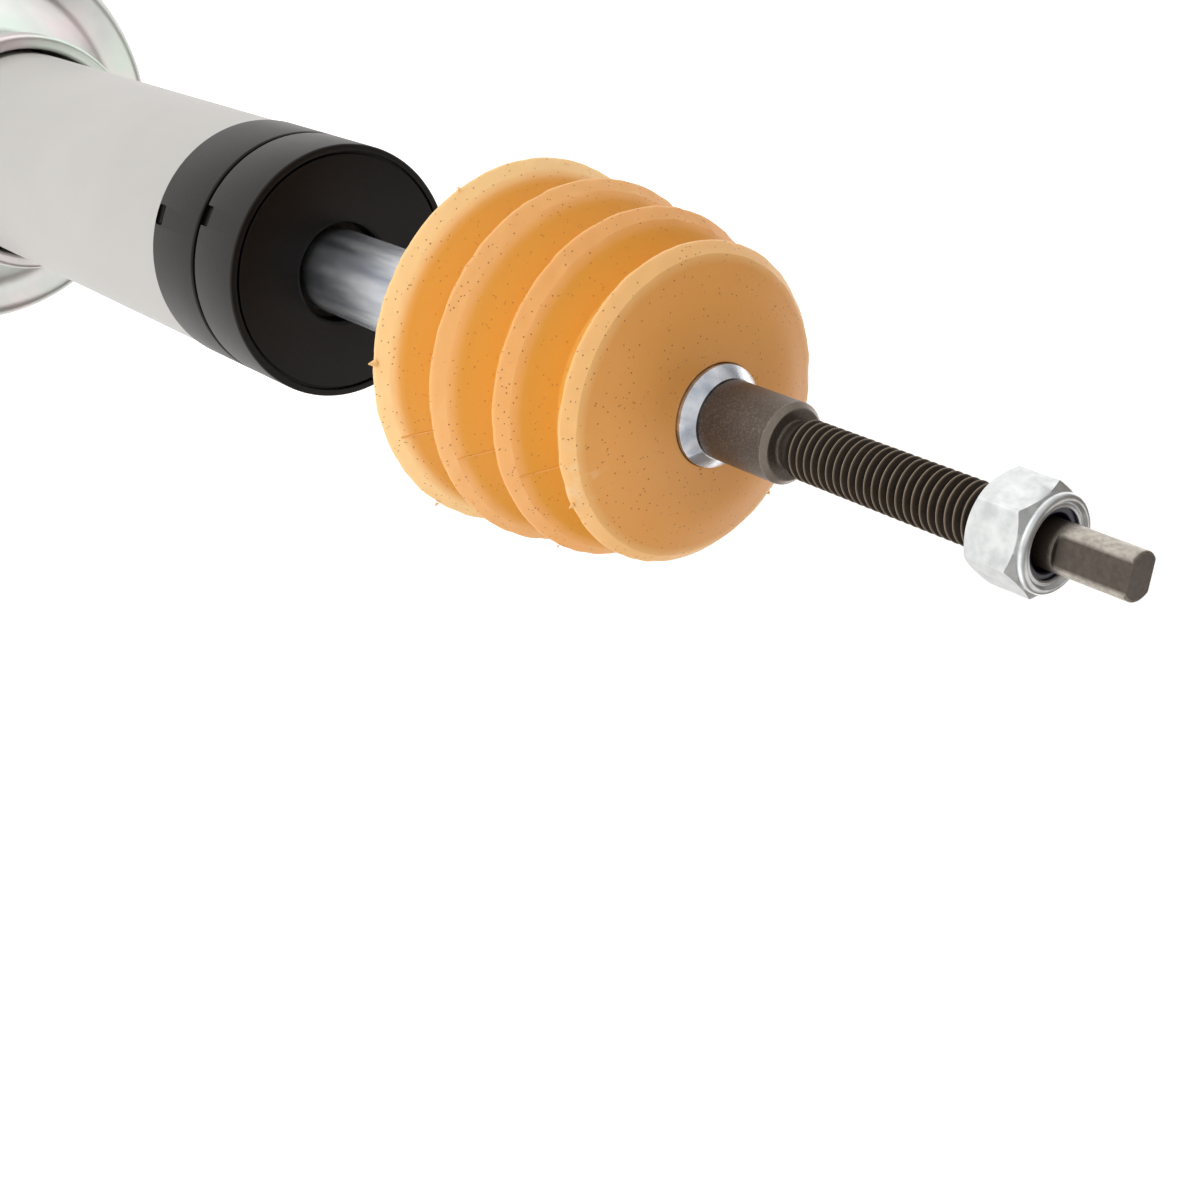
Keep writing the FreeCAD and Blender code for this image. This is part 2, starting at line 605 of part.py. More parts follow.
def dividing_piston():
    """A cup, open to the gas, with two grooves round it."""
    band_foot, o_ring_foot = divider_groove_heights()
    floor = TUBE_BORE_R - O_RING_DEPTH
    crown = DIVIDER_TOP - DIVIDER_CROWN
    return turned(((PISTON_R - DIVIDER_WALL, DIVIDER_Z), (PISTON_R, DIVIDER_Z),
                   (PISTON_R, band_foot - LIFT), (floor, band_foot - LIFT),
                   (floor, band_foot + DIVIDER_BAND + LIFT), (PISTON_R, band_foot + DIVIDER_BAND + LIFT),
                   (PISTON_R, o_ring_foot - LIFT), (floor, o_ring_foot - LIFT),
                   (floor, o_ring_foot + O_RING_SECTION + LIFT),
                   (PISTON_R, o_ring_foot + O_RING_SECTION + LIFT), (PISTON_R, DIVIDER_TOP),
                   (0, DIVIDER_TOP), (0, crown), (PISTON_R - DIVIDER_WALL - BROAD_EDGE, crown),
                   (PISTON_R - DIVIDER_WALL, crown - BROAD_EDGE)))


def dividing_o_ring():
    foot = divider_groove_heights()[1]
    return ring(TUBE_BORE_R - O_RING_DEPTH + SNUG, TUBE_BORE_R - RUN, foot, foot + O_RING_SECTION)


def dividing_band():
    foot = divider_groove_heights()[0]
    return ring(TUBE_BORE_R - O_RING_DEPTH + SNUG, TUBE_BORE_R - RUN, foot, foot + DIVIDER_BAND)


PARTS = (lower_eye, eye_bushing, eye_sleeve, base_cap, gas_plug, tube, seat_clip, spring_seat,
         strike_cap, cap_ring, rod_guide, guide_o_ring, guide_bush, rod_seal, seal_washer,
         guide_snap_ring, wiper_seal, piston_rod, lock_nut, nut_insert, bump_stop, rebound_bumper,
         rebound_retainer, top_washer, compression_shims, piston, piston_band, rebound_shims,
         bottom_washer, piston_nut, dividing_piston, dividing_o_ring, dividing_band)

os.makedirs("parts", exist_ok=True)
for maker in PARTS:
    shape = maker()
    if not shape.isValid():
        raise ValueError(maker.__name__ + " is not a valid solid")
    shape.exportStep(os.path.join("parts", maker.__name__ + ".step"))
    box = shape.BoundBox
    print("%-18s %2d solid  z %7.2f to %7.2f  volume %9.1f" % (
        maker.__name__, len(shape.Solids), box.ZMin, box.ZMax, shape.Volume))
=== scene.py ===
# %% [markdown]
# A leveling strut is a gas damper with an adjustable spring perch. The frame brings in its CAD pieces, all
# in metres, with the centre of the lower eye at the origin and the stem tip straight above it.
# Everything below takes its sizes from that frame, so each dressed piece sits where the CAD says.

import math

import bpy
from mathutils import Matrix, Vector


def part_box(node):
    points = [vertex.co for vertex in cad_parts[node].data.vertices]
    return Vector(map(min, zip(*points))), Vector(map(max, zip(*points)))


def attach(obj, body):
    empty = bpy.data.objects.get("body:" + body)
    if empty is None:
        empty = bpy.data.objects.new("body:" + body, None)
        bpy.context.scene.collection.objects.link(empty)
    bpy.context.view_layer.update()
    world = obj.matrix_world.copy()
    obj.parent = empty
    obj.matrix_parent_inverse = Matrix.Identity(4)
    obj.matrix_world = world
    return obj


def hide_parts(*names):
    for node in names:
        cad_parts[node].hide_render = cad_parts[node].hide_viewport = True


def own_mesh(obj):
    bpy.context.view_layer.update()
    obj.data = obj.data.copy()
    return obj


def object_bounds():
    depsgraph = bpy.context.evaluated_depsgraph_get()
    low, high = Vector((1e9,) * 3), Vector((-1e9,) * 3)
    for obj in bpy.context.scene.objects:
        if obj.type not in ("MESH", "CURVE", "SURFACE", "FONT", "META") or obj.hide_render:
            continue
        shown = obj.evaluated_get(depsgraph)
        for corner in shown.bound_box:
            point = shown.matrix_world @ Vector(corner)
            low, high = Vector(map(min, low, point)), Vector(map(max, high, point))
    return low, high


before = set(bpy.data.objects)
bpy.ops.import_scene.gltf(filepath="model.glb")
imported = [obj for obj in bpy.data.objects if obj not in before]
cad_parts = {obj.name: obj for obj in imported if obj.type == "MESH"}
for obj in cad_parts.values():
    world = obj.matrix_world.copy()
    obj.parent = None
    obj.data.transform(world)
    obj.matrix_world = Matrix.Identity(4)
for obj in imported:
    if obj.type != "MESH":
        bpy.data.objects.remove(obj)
cad_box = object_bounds()
MM = 0.001


def span(node):
    """(outer radius, lowest height, highest height) of a turned CAD node."""
    low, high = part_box(node)
    return high.x, low.z, high.z


TUBE_R, TUBE_LOW, TUBE_TOP = span("tube")
ROD_R, ROD_LOW, TIP_TOP = span("piston_rod")
CAP_R, CAP_LOW, CAP_TOP = span("strike_cap")
RING_R, RING_LOW, RING_TOP = span("cap_ring")
BUMP_R, BUMP_LOW, BUMP_TOP = span("bump_stop")
SEAT_R, SEAT_LOW, SEAT_TOP = span("spring_seat")
NUT_FOOT, NUT_TOP = span("lock_nut")[1:]
INSERT_R, INSERT_LOW, INSERT_TOP = span("nut_insert")
print("frame: tube radius", round(TUBE_R / MM, 2), "mm, stem tip at", round(TIP_TOP / MM, 1), "mm")

# %% [markdown]
# Nearly every piece of a strut comes off a lathe or a press, so its shape is half of a section turned round
# the axis. In Blender that is one outline, drawn point by point in edit mode, and one Spin. The helpers
# draw the outline from corners, round the corners that the tool leaves round, and spin it.

# %% Outlines with rounded corners
ARC_STEPS = 6


def rounded(corners):
    """The points of a closed outline of (radius, height) corners; a third value rounds that corner."""
    points = []
    for index, corner in enumerate(corners):
        here = Vector(corner[:2])
        if len(corner) == 2:
            points.append(here)
            continue
        back = (Vector(corners[index - 1][:2]) - here).normalized()
        onward = (Vector(corners[(index + 1) % len(corners)][:2]) - here).normalized()
        half = back.angle(onward) / 2
        sweep = math.pi - 2 * half
        centre = here + (back + onward).normalized() * (corner[2] / math.sin(half))
        start = here + back * (corner[2] / math.tan(half)) - centre
        end = here + onward * (corner[2] / math.tan(half)) - centre
        for step in range(ARC_STEPS + 1):
            turn = sweep * step / ARC_STEPS
            points.append(centre + (start * math.sin(sweep - turn) + end * math.sin(turn)) / math.sin(sweep))
    return points


print("a square with one round corner has", len(rounded(((0, 0), (1, 0), (1, 1, 0.2), (0, 1)))), "points")

# %% Draw a line and spin it
SPIN_STEPS = 128
FINE_STEPS = 192
FOAM_STEPS = 256
SMOOTH_ANGLE = math.radians(35)
MERGE = 1e-6


def deselect():
    """Leaves nothing selected, in object mode."""
    if bpy.context.object and bpy.context.object.mode != "OBJECT":
        bpy.ops.object.mode_set(mode="OBJECT")
    bpy.ops.object.select_all(action="DESELECT")


def draw(name, points, closed):
    """A new object with a line through the (radius, height) points, left in edit mode."""
    deselect()
    bpy.ops.mesh.primitive_plane_add(size=MM, location=(0, 0, 0))
    piece = bpy.context.object
    piece.name = name
    bpy.ops.object.mode_set(mode="EDIT")
    bpy.ops.mesh.select_all(action="SELECT")
    bpy.ops.mesh.merge(type="CENTER")
    bpy.ops.transform.translate(value=(points[0][0], 0, points[0][1]))
    stops = list(points[1:]) + (list(points[:1]) if closed else [])
    here = points[0]
    for there in stops:
        step = (there[0] - here[0], 0, there[1] - here[1])
        bpy.ops.mesh.extrude_vertices_move(TRANSFORM_OT_translate={"value": step})
        here = there
    bpy.ops.mesh.select_all(action="SELECT")
    bpy.ops.mesh.remove_doubles(threshold=MERGE)
    return piece


def close_up():
    """Merges doubles, turns the faces outwards and shades the active piece smooth up to an angle."""
    bpy.ops.mesh.select_all(action="SELECT")
    bpy.ops.mesh.remove_doubles(threshold=MERGE)
    bpy.ops.mesh.normals_make_consistent(inside=False)
    bpy.ops.object.mode_set(mode="OBJECT")
    bpy.ops.object.shade_smooth_by_angle(angle=SMOOTH_ANGLE)
    return bpy.context.object


def turn_round_axis(piece, angle):
    """Turns a piece round the strut's axis by an angle in degrees, and applies the turn."""
    piece.rotation_euler.z = math.radians(angle)
    bpy.ops.object.transform_apply(location=False, rotation=True, scale=False)


def split_long(points, longest):
    """The same closed outline with extra points on every side that is longer than that."""
    finer = []
    for index, start in enumerate(points):
        end = points[(index + 1) % len(points)]
        parts = max(1, math.ceil((end - start).length / longest))
        finer += [start.lerp(end, part / parts) for part in range(parts)]
    return finer


def turned(name, corners, closed=True, steps=SPIN_STEPS, longest=None):
    """A piece turned round the strut's axis from its half section."""
    points = rounded(corners)
    draw(name, split_long(points, longest) if longest else points, closed)
    bpy.ops.mesh.spin(steps=steps, angle=2 * math.pi, center=(0, 0, 0), axis=(0, 0, 1))
    return close_up()


def apply_modifiers(piece):
    """Applies the piece's modifiers in their order."""
    deselect()
    piece.select_set(True)
    bpy.context.view_layer.objects.active = piece
    for modifier in list(piece.modifiers):
        bpy.ops.object.modifier_apply(modifier=modifier.name)


def carve(piece, tool, operation):
    """Cuts or crosses a piece with a tool, and throws the tool away."""
    change = piece.modifiers.new(operation.lower(), "BOOLEAN")
    change.operation = operation
    change.solver = "EXACT"
    change.object = tool
    apply_modifiers(piece)
    bpy.data.objects.remove(tool, do_unlink=True)
    bpy.ops.object.shade_smooth_by_angle(angle=SMOOTH_ANGLE)


def joined(*pieces):
    """Joins pieces into the first one."""
    deselect()
    for piece in pieces:
        piece.select_set(True)
    bpy.context.view_layer.objects.active = pieces[0]
    bpy.ops.object.join()
    return bpy.context.object


def seat_on(piece, body, finish, *nodes):
    """Gives a finished piece its CAD body and the nodes that it stands for."""
    piece.data.materials.clear()
    piece.data.materials.append(finish)
    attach(piece, body)
    if nodes:
        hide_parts(*nodes)
    print(piece.name, "has", len(piece.data.polygons), "faces and rides on", body)


# %% [markdown]
# Studio finishes are never flat. Each one here is a base colour that drifts a little over the piece, a
# roughness that drifts with it and a fine grain in the bump, all from noise on Object coordinates, so that
# nothing slides when a piece moves.

# %% Colours and nodes
def tint(red, green, blue):
    """An sRGB colour of 0 to 255 as the linear colour that the shader wants."""
    linear = []
    for value in (red, green, blue):
        share = value / 255
        linear.append(share / 12.92 if share < 0.04045 else ((share + 0.055) / 1.055) ** 2.4)
    return (*linear, 1.0)


def wire(finish, output, socket):
    """Links an output to an input."""
    finish.node_tree.links.new(output, socket)


def maths(finish, operation, first, second):
    """The outcome of a sum on two outputs, or on an output and a number."""
    node = finish.node_tree.nodes.new("ShaderNodeMath")
    node.operation = operation
    wire(finish, first, node.inputs[0])
    if isinstance(second, (int, float)):
        node.inputs[1].default_value = second
    else:
        wire(finish, second, node.inputs[1])
    return node.outputs["Value"]


def vector_maths(finish, operation, first, second=None):
    """A vector sum on an output and, where it needs one, a constant vector; returns its node."""
    node = finish.node_tree.nodes.new("ShaderNodeVectorMath")
    node.operation = operation
    wire(finish, first, node.inputs[0])
    if second:
        node.inputs[1].default_value = second
    return node


def height_up(finish, place):
    """The height on the strut."""
    split = finish.node_tree.nodes.new("ShaderNodeSeparateXYZ")
    wire(finish, place, split.inputs["Vector"])
    return split.outputs["Z"]


def axis_distance(finish, place):
    """The distance from the strut's axis."""
    flat = vector_maths(finish, "MULTIPLY", place, (1, 1, 0)).outputs["Vector"]
    return vector_maths(finish, "LENGTH", flat).outputs["Value"]


def stretched(finish, place, stretch):
    """The place scaled by a factor along each axis."""
    mapping = finish.node_tree.nodes.new("ShaderNodeMapping")
    mapping.inputs["Scale"].default_value = stretch
    wire(finish, place, mapping.inputs["Vector"])
    return mapping.outputs["Vector"]


def noise(finish, place, scale, stretch=(1, 1, 1), detail=3.0):
    """Noise over the piece's own coordinates, stretched as asked."""
    texture = finish.node_tree.nodes.new("ShaderNodeTexNoise")
    texture.inputs["Scale"].default_value = scale
    texture.inputs["Detail"].default_value = detail
    wire(finish, stretched(finish, place, stretch), texture.inputs["Vector"])
    return texture.outputs["Fac"]


def ranged(finish, value, low, high, start=0.3, end=0.7):
    """A value spread from start..end to low..high."""
    spread = finish.node_tree.nodes.new("ShaderNodeMapRange")
    for name, number in zip(("From Min", "From Max", "To Min", "To Max"), (start, end, low, high)):
        spread.inputs[name].default_value = number
    wire(finish, value, spread.inputs["Value"])
    return spread.outputs["Result"]


def mixed(finish, factor, first, second):
    """A colour mix; each side is a plain colour or the output whose colour it takes."""
    mix = finish.node_tree.nodes.new("ShaderNodeMix")
    mix.data_type = "RGBA"
    wire(finish, factor, mix.inputs["Factor"])
    for socket, value in ((mix.inputs[6], first), (mix.inputs[7], second)):
        if isinstance(value, tuple):
            socket.default_value = value
        else:
            wire(finish, value, socket)
    return mix.outputs[2]


def channels(finish, colour):
    """The Red, Green and Blue of a colour."""
    split = finish.node_tree.nodes.new("ShaderNodeSeparateColor")
    wire(finish, colour, split.inputs["Color"])
    return split.outputs


def bumped(finish, height, depth, below=None):
    """A bump from a height, laid over another bump if there is one."""
    bump = finish.node_tree.nodes.new("ShaderNodeBump")
    bump.inputs["Distance"].default_value = depth
    bump.inputs["Strength"].default_value = 1.0
    wire(finish, height, bump.inputs["Height"])
    if below is not None:
        wire(finish, below, bump.inputs["Normal"])
    return bump.outputs["Normal"]


print("white is", tint(255, 255, 255))

# %% A finish from colour, gloss and grain
DRIFT_SCALE = 25.0


def make_finish(name, dark, light, rough, metal, grain, depth, stretch=(1, 1, 1)):
    """A finish between two tones, with drifting roughness and a grain; returns it with its parts."""
    finish = bpy.data.materials.new(name)
    finish["slot"] = name
    finish.use_nodes = True
    nodes = finish.node_tree.nodes
    shader = nodes["Principled BSDF"]
    shader.inputs["Metallic"].default_value = metal
    place = nodes.new("ShaderNodeTexCoord").outputs["Object"]
    drift = noise(finish, place, DRIFT_SCALE, stretch, 4.0)
    tones = mixed(finish, ranged(finish, drift, 0, 1), dark, light)
    wire(finish, tones, shader.inputs["Base Color"])
    wire(finish, ranged(finish, drift, *rough), shader.inputs["Roughness"])
    bump = bumped(finish, noise(finish, place, grain, stretch), depth)
    wire(finish, bump, shader.inputs["Normal"])
    print("finish", name, "has", len(nodes), "nodes")
    return finish, {"shader": shader, "place": place, "tones": tones, "bump": bump}


# %% [markdown]
# Painted, plated and moulded pieces share the same recipe with their own colours. The tube carries a satin
# silver paint over a faint orange peel and zinc plate is a bright grey. The chromed rod was polished round
# its axis, so its gloss is drawn out along it: that is what its anisotropy and its long streaks are for.

# %% Finishes of the strut
tube_paint = make_finish(
    "tube_paint", tint(186, 184, 180), tint(194, 192, 188), (0.38, 0.46), 0.0, 1500.0, 0.02 * MM)[0]
zinc_plate, zinc_parts = make_finish(
    "zinc_plate", tint(172, 175, 173), tint(222, 225, 222), (0.28, 0.4), 0.7, 420.0, 0.05 * MM)
black_plastic, black_parts = make_finish(
    "black_plastic", tint(22, 18, 16), tint(29, 25, 22), (0.36, 0.46), 0.0, 1200.0, 0.03 * MM)
chrome_rod, chrome_parts = make_finish(
    "chrome_rod", tint(162, 169, 181), tint(240, 242, 245), (0.2, 0.24), 1.0, 60.0, 0.0004 * MM, (8, 8, 1))
dark_phosphate, phosphate_parts = make_finish(
    "dark_phosphate", tint(60, 53, 48), tint(94, 85, 78), (0.34, 0.46), 0.6, 1100.0, 0.06 * MM)
urethane, urethane_parts = make_finish(
    "urethane", tint(234, 160, 76), tint(242, 170, 88), (0.42, 0.52), 0.0, 700.0, 0.05 * MM)
nylon = make_finish(
    "nylon", tint(18, 17, 42), tint(30, 28, 58), (0.3, 0.4), 0.0, 900.0, 0.03 * MM)[0]
rubber_black = make_finish(
    "rubber_black", tint(24, 23, 22), tint(36, 34, 32), (0.6, 0.75), 0.0, 800.0, 0.06 * MM)[0]
plain_steel = make_finish(
    "plain_steel", tint(140, 138, 134), tint(170, 168, 163), (0.3, 0.42), 0.9, 300.0, 0.02 * MM, (1, 1, 8))[0]
machined_aluminium = make_finish(
    "machined_aluminium", tint(178, 178, 176), tint(200, 200, 198), (0.28, 0.38), 0.9, 120.0, 0.01 * MM,
    (1, 1, 20))[0]
ptfe_band = make_finish(
    "ptfe_band", tint(70, 84, 74), tint(86, 100, 90), (0.4, 0.5), 0.0, 600.0, 0.02 * MM)[0]
bumper_plastic = make_finish(
    "bumper_plastic", tint(196, 190, 172), tint(214, 208, 190), (0.4, 0.5), 0.0, 700.0, 0.03 * MM)[0]
chrome_parts["shader"].inputs["Anisotropic"].default_value = 0.95
chrome_parts["shader"].inputs["Anisotropic Rotation"].default_value = 0.25
black_parts["shader"].inputs["Specular IOR Level"].default_value = 0.22

# %% [markdown]
# Zinc plate has a thin passivated skin that splits the light, so that it shimmers between green and pink.
# One broad noise mixes in a green tint and another a pink one, both weakly, so the metal stays grey. The nut
# was tumbled in its bath and is mottled instead, so the height on the strut picks between the two.

# %% Shimmer on the zinc
GREEN_SHIMMER = tint(202, 220, 206)
GREEN_SCALE = 22.0
PINK_SHIMMER = tint(232, 210, 214)
PINK_SCALE = 31.0
NUT_DULL = tint(186, 189, 190)
NUT_BRIGHT = tint(212, 215, 214)
NUT_PATCH_SCALE = 380.0


def add_shimmer(finish, parts):
    """Mixes green and pink drifts into the perch, and mottles the nut."""
    place = parts["place"]
    green = ranged(finish, noise(finish, place, GREEN_SCALE, (1, 1, 3), 2.0), 0, 0.7, 0.45, 0.65)
    pink = ranged(finish, noise(finish, place, PINK_SCALE, (2, 1, 1), 2.0), 0, 0.5, 0.5, 0.7)
    tones = mixed(finish, green, parts["tones"], GREEN_SHIMMER)
    tones = mixed(finish, pink, tones, PINK_SHIMMER)
    patches = ranged(finish, noise(finish, place, NUT_PATCH_SCALE, detail=5.0), 0, 1, 0.32, 0.68)
    mottled = mixed(finish, patches, NUT_DULL, NUT_BRIGHT)
    on_nut = ranged(finish, height_up(finish, place), 0, 1, NUT_FOOT - 20 * MM, NUT_FOOT - 10 * MM)
    tones = mixed(finish, on_nut, tones, mottled)
    wire(finish, tones, parts["shader"].inputs["Base Color"])


add_shimmer(zinc_plate, zinc_parts)
print("zinc has", len(zinc_plate.node_tree.nodes), "nodes")

# %% [markdown]
# The stem is one dark bar with a sandy grain. The edge of its shoulder and the crests of the thread get a
# painted highlight, and the round sides of the tip are painted lighter than its flats, partly as bare steel
# and partly as painted highlight. All these tones follow the place on the bar: masks from the height on it
# and from the distance to its axis pick each stretch, and their product picks what both name.

# %% Wear and painted highlights on the stem
THREAD_R = 6.2 * MM
STEM_R = 8.5 * MM
TIP_R = 4.65 * MM
ROD_TOP = BUMP_TOP + 1.2 * MM
STEM_TOP = ROD_TOP + 21.5 * MM
TIP_WORN_Z = TIP_TOP - 16 * MM
CREST_DEPTH = 0.3 * MM
CREST_BLUR = 0.04 * MM
SPECK_SCALE = 2400.0
RUB_SCALE = 900.0
GRAIN_LIGHT = tint(150, 138, 126)
# Painted highlight on the shoulder edge
PAINTED_EDGE_HIGHLIGHT = tint(160, 149, 136)
THREAD_DARK = tint(44, 34, 26)
# Painted highlight on the thread crests
PAINTED_CREST_HIGHLIGHT = tint(142, 128, 110)
FLAT_STEEL = tint(84, 76, 68)
# The tip's round sides: bare steel and a painted highlight
BARE_STEEL_AND_HIGHLIGHT = tint(176, 169, 159)


def add_wear_and_highlights(finish, parts):
    """Speckles the stem, darkens the thread, paints highlights on the shoulder edge and crests, lightens the
    tip.
    """
    place = parts["place"]
    height = height_up(finish, place)
    reach = axis_distance(finish, place)
    specks = ranged(finish, noise(finish, place, SPECK_SCALE, detail=2.0), 0, 0.22, 0.5, 0.66)
    tones = mixed(finish, specks, parts["tones"], GRAIN_LIGHT)
    high = ranged(finish, height, 0, 0.45, STEM_TOP - 1.4 * MM, STEM_TOP - 1 * MM)
    outer = ranged(finish, reach, 0, 1, STEM_R - 1.5 * MM, STEM_R - 1 * MM)
    # Painted highlight on the shoulder's chamfered edge
    tones = mixed(finish, maths(finish, "MULTIPLY", high, outer), tones, PAINTED_EDGE_HIGHLIGHT)
    above = ranged(finish, height, 0, 0.85, STEM_TOP + 0.5 * MM, STEM_TOP + 1 * MM)
    tones = mixed(finish, above, tones, THREAD_DARK)
    crest = ranged(finish, reach, 0, 1, THREAD_R - CREST_DEPTH, THREAD_R - CREST_BLUR)
    # Painted highlight along the crests of the thread
    tones = mixed(finish, maths(finish, "MULTIPLY", crest, above), tones, PAINTED_CREST_HIGHLIGHT)
    patchy = ranged(finish, noise(finish, place, RUB_SCALE, detail=4.0), 0.6, 1, 0.35, 0.65)
    tip = ranged(finish, height, 0, 1, TIP_WORN_Z, TIP_WORN_Z + 3 * MM)
    worn = maths(finish, "MULTIPLY", tip, patchy)
    tones = mixed(finish, worn, tones, FLAT_STEEL)
    # The tip's round sides are painted lighter than its flats: partly bare steel, partly painted highlight
    corner = ranged(finish, reach, 0, 1, TIP_R - 0.6 * MM, TIP_R - 0.1 * MM)
    tones = mixed(finish, maths(finish, "MULTIPLY", worn, corner), tones, BARE_STEEL_AND_HIGHLIGHT)
    wire(finish, tones, parts["shader"].inputs["Base Color"])


add_wear_and_highlights(dark_phosphate, phosphate_parts)
print("wear starts", round((TIP_TOP - TIP_WORN_Z) / MM, 1), "mm below the tip")

# %% [markdown]
# The black rings are moulded plastic. Within the rim, the face, the notches and the gap between the rings get
# painted shade, nearly black. The rim is told from the rest by its distance from the axis.

# %% Painted shade inside the rim
# Painted shade, nearly black, for the face, the notches and the gap inside the rim
PAINTED_SHADE_BLACK = tint(7, 4, 3)


def add_painted_shade(finish, parts):
    """Paints shade, nearly black, on all that lies within the rim of the rings."""
    reach = axis_distance(finish, parts["place"])
    inside = ranged(finish, reach, 1, 0, RING_R - 0.7 * MM, RING_R - 0.35 * MM)
    wire(finish, mixed(finish, inside, parts["tones"], PAINTED_SHADE_BLACK), parts["shader"].inputs["Base Color"])


add_painted_shade(black_plastic, black_parts)
print("rim radius of the rings:", round(RING_R / MM, 2), "mm")

# %% [markdown]
# Cellular urethane is a foam with a skin. Here and there a cell breaks the skin as a pinhole, darker than
# the rest. A Voronoi texture gives the cells, and a cell whose random colour is too low stays closed. A
# painted attribute, made further down with the bump stop, says where the foam gets painted sheen on its lips
# and painted shade on its flanks and in its grooves.

# %% Pores in the urethane
# Each kind of pore: cells per metre, its reach in a cell, the colour that opens a cell, and the stretch
PORES = ((760.0, 0.14, 0.3, (1, 1, 1)), (520.0, 0.12, 0.4, (1, 2.2, 1)))
FACE_PORE = tint(168, 106, 54)
FLANK_PORE = tint(206, 138, 62)
# Painted sheen on the lips, painted shade on the flanks and in the grooves
PAINTED_LIP_SHEEN = tint(255, 214, 148)
PAINTED_FLANK_SHADE = tint(228, 158, 46)
PORE_DEPTH = 0.15 * MM
SCUFF_TONE = tint(246, 208, 156)
SCUFF_SCALE = 260.0
SCUFF_REACH = 9 * MM
SCUFF_ANGLE = math.radians(-48)
FRONT_SHARE = 0.819
SCUFF_R = BUMP_R * FRONT_SHARE - 1 * MM
SCUFF_PLACE = (SCUFF_R * math.cos(SCUFF_ANGLE), SCUFF_R * math.sin(SCUFF_ANGLE), BUMP_TOP - 8 * MM)


def pore_mask(finish, place, scale, reach, share, stretch):
    """1 inside the pinholes and 0 outside: the middles of Voronoi cells whose random colour is high."""
    cells = finish.node_tree.nodes.new("ShaderNodeTexVoronoi")
    cells.inputs["Scale"].default_value = scale
    wire(finish, stretched(finish, place, stretch), cells.inputs["Vector"])
    hole = ranged(finish, cells.outputs["Distance"], 1, 0, reach * 0.6, reach)
    chosen = maths(finish, "GREATER_THAN", channels(finish, cells.outputs["Color"])["Red"], share)
    return maths(finish, "MULTIPLY", hole, chosen)


def add_pores(finish, parts):
    """Scatters sunken dark pinholes of two kinds over a finish, and mixes in the painted sheen and shade."""
    holes = maths(finish, "MAXIMUM", *[pore_mask(finish, parts["place"], *kind) for kind in PORES])
    skin = finish.node_tree.nodes.new("ShaderNodeAttribute")
    skin.attribute_name = "skin"
    shares = channels(finish, skin.outputs["Color"])
    # The skin attribute mixes in painted shade (green) and painted sheen (red)
    tones = mixed(finish, shares["Green"], parts["tones"], PAINTED_FLANK_SHADE)
    tones = mixed(finish, shares["Red"], tones, PAINTED_LIP_SHEEN)
    pore = mixed(finish, shares["Green"], FACE_PORE, FLANK_PORE)
    wire(finish, bumped(finish, holes, -PORE_DEPTH, parts["bump"]), parts["shader"].inputs["Normal"])
    return mixed(finish, holes, tones, pore)


def add_scuffs(finish, place, tones):
    """Whitish scuffs around one place on the front disc's lip."""
    away = vector_maths(finish, "DISTANCE", place, SCUFF_PLACE).outputs["Value"]
    near = ranged(finish, away, 0.5, 0, SCUFF_REACH * 0.4, SCUFF_REACH)
    patch = ranged(finish, noise(finish, place, SCUFF_SCALE), 0, 1, 0.52, 0.62)
    return mixed(finish, maths(finish, "MULTIPLY", near, patch), tones, SCUFF_TONE)


foam_shader = urethane_parts["shader"]
pored = add_pores(urethane, urethane_parts)
wire(urethane, add_scuffs(urethane, urethane_parts["place"], pored), foam_shader.inputs["Base Color"])
foam_shader.inputs["Subsurface Weight"].default_value = 0.12
foam_shader.inputs["Subsurface Radius"].default_value = (1.0, 0.35, 0.1)
foam_shader.inputs["Subsurface Scale"].default_value = 2 * MM
print("the finer pinholes lie about", round(1000 / PORES[0][0], 1), "mm apart before some are left out")

# %% [markdown]
# The tube is drawn steel with a painted outside. Its top is turned down for the black rings, and round
# grooves below the perch give the ride heights. One closed section holds wall, neck and grooves.

# %% Tube
TUBE_WALL = 3.5 * MM
NECK_R = 31.2 * MM
GROOVE_WIRE = 1.9 * MM
GROOVE_DEPTH = 1.7 * MM
GROOVE_PITCH = 12 * MM
GROOVES = 3
clip_low, clip_high = span("seat_clip")[1:]
CLIP_Z = (clip_low + clip_high) / 2
tube_corners = [(TUBE_R - TUBE_WALL, TUBE_LOW), (TUBE_R, TUBE_LOW, 1 * MM)]
for step in reversed(range(GROOVES)):
    groove_z = CLIP_Z - GROOVE_PITCH * step
    tube_corners.append((TUBE_R, groove_z - GROOVE_WIRE, 0.3 * MM))
    tube_corners.append((TUBE_R - GROOVE_DEPTH, groove_z - GROOVE_WIRE, 1.2 * MM))
    tube_corners.append((TUBE_R - GROOVE_DEPTH, groove_z + GROOVE_WIRE, 1.2 * MM))
    tube_corners.append((TUBE_R, groove_z + GROOVE_WIRE, 0.3 * MM))
tube_corners.append((TUBE_R, RING_LOW, 0.4 * MM))
tube_corners.append((NECK_R, RING_LOW))
tube_corners.append((NECK_R, TUBE_TOP))
tube_corners.append((TUBE_R - TUBE_WALL, TUBE_TOP))
tube = turned("painted_tube", tube_corners, steps=FINE_STEPS)
seat_on(tube, "barrel", tube_paint, "tube")

# %% [markdown]
# The spring perch is one pressing of 3 mm sheet: a flared mouth that clears the tube, a land that guides
# it, a cone that sits on the snap ring, and a broad flange with a turned-down lip for the spring.
# Its section is the sheet's two faces with every bend rounded, spun once.

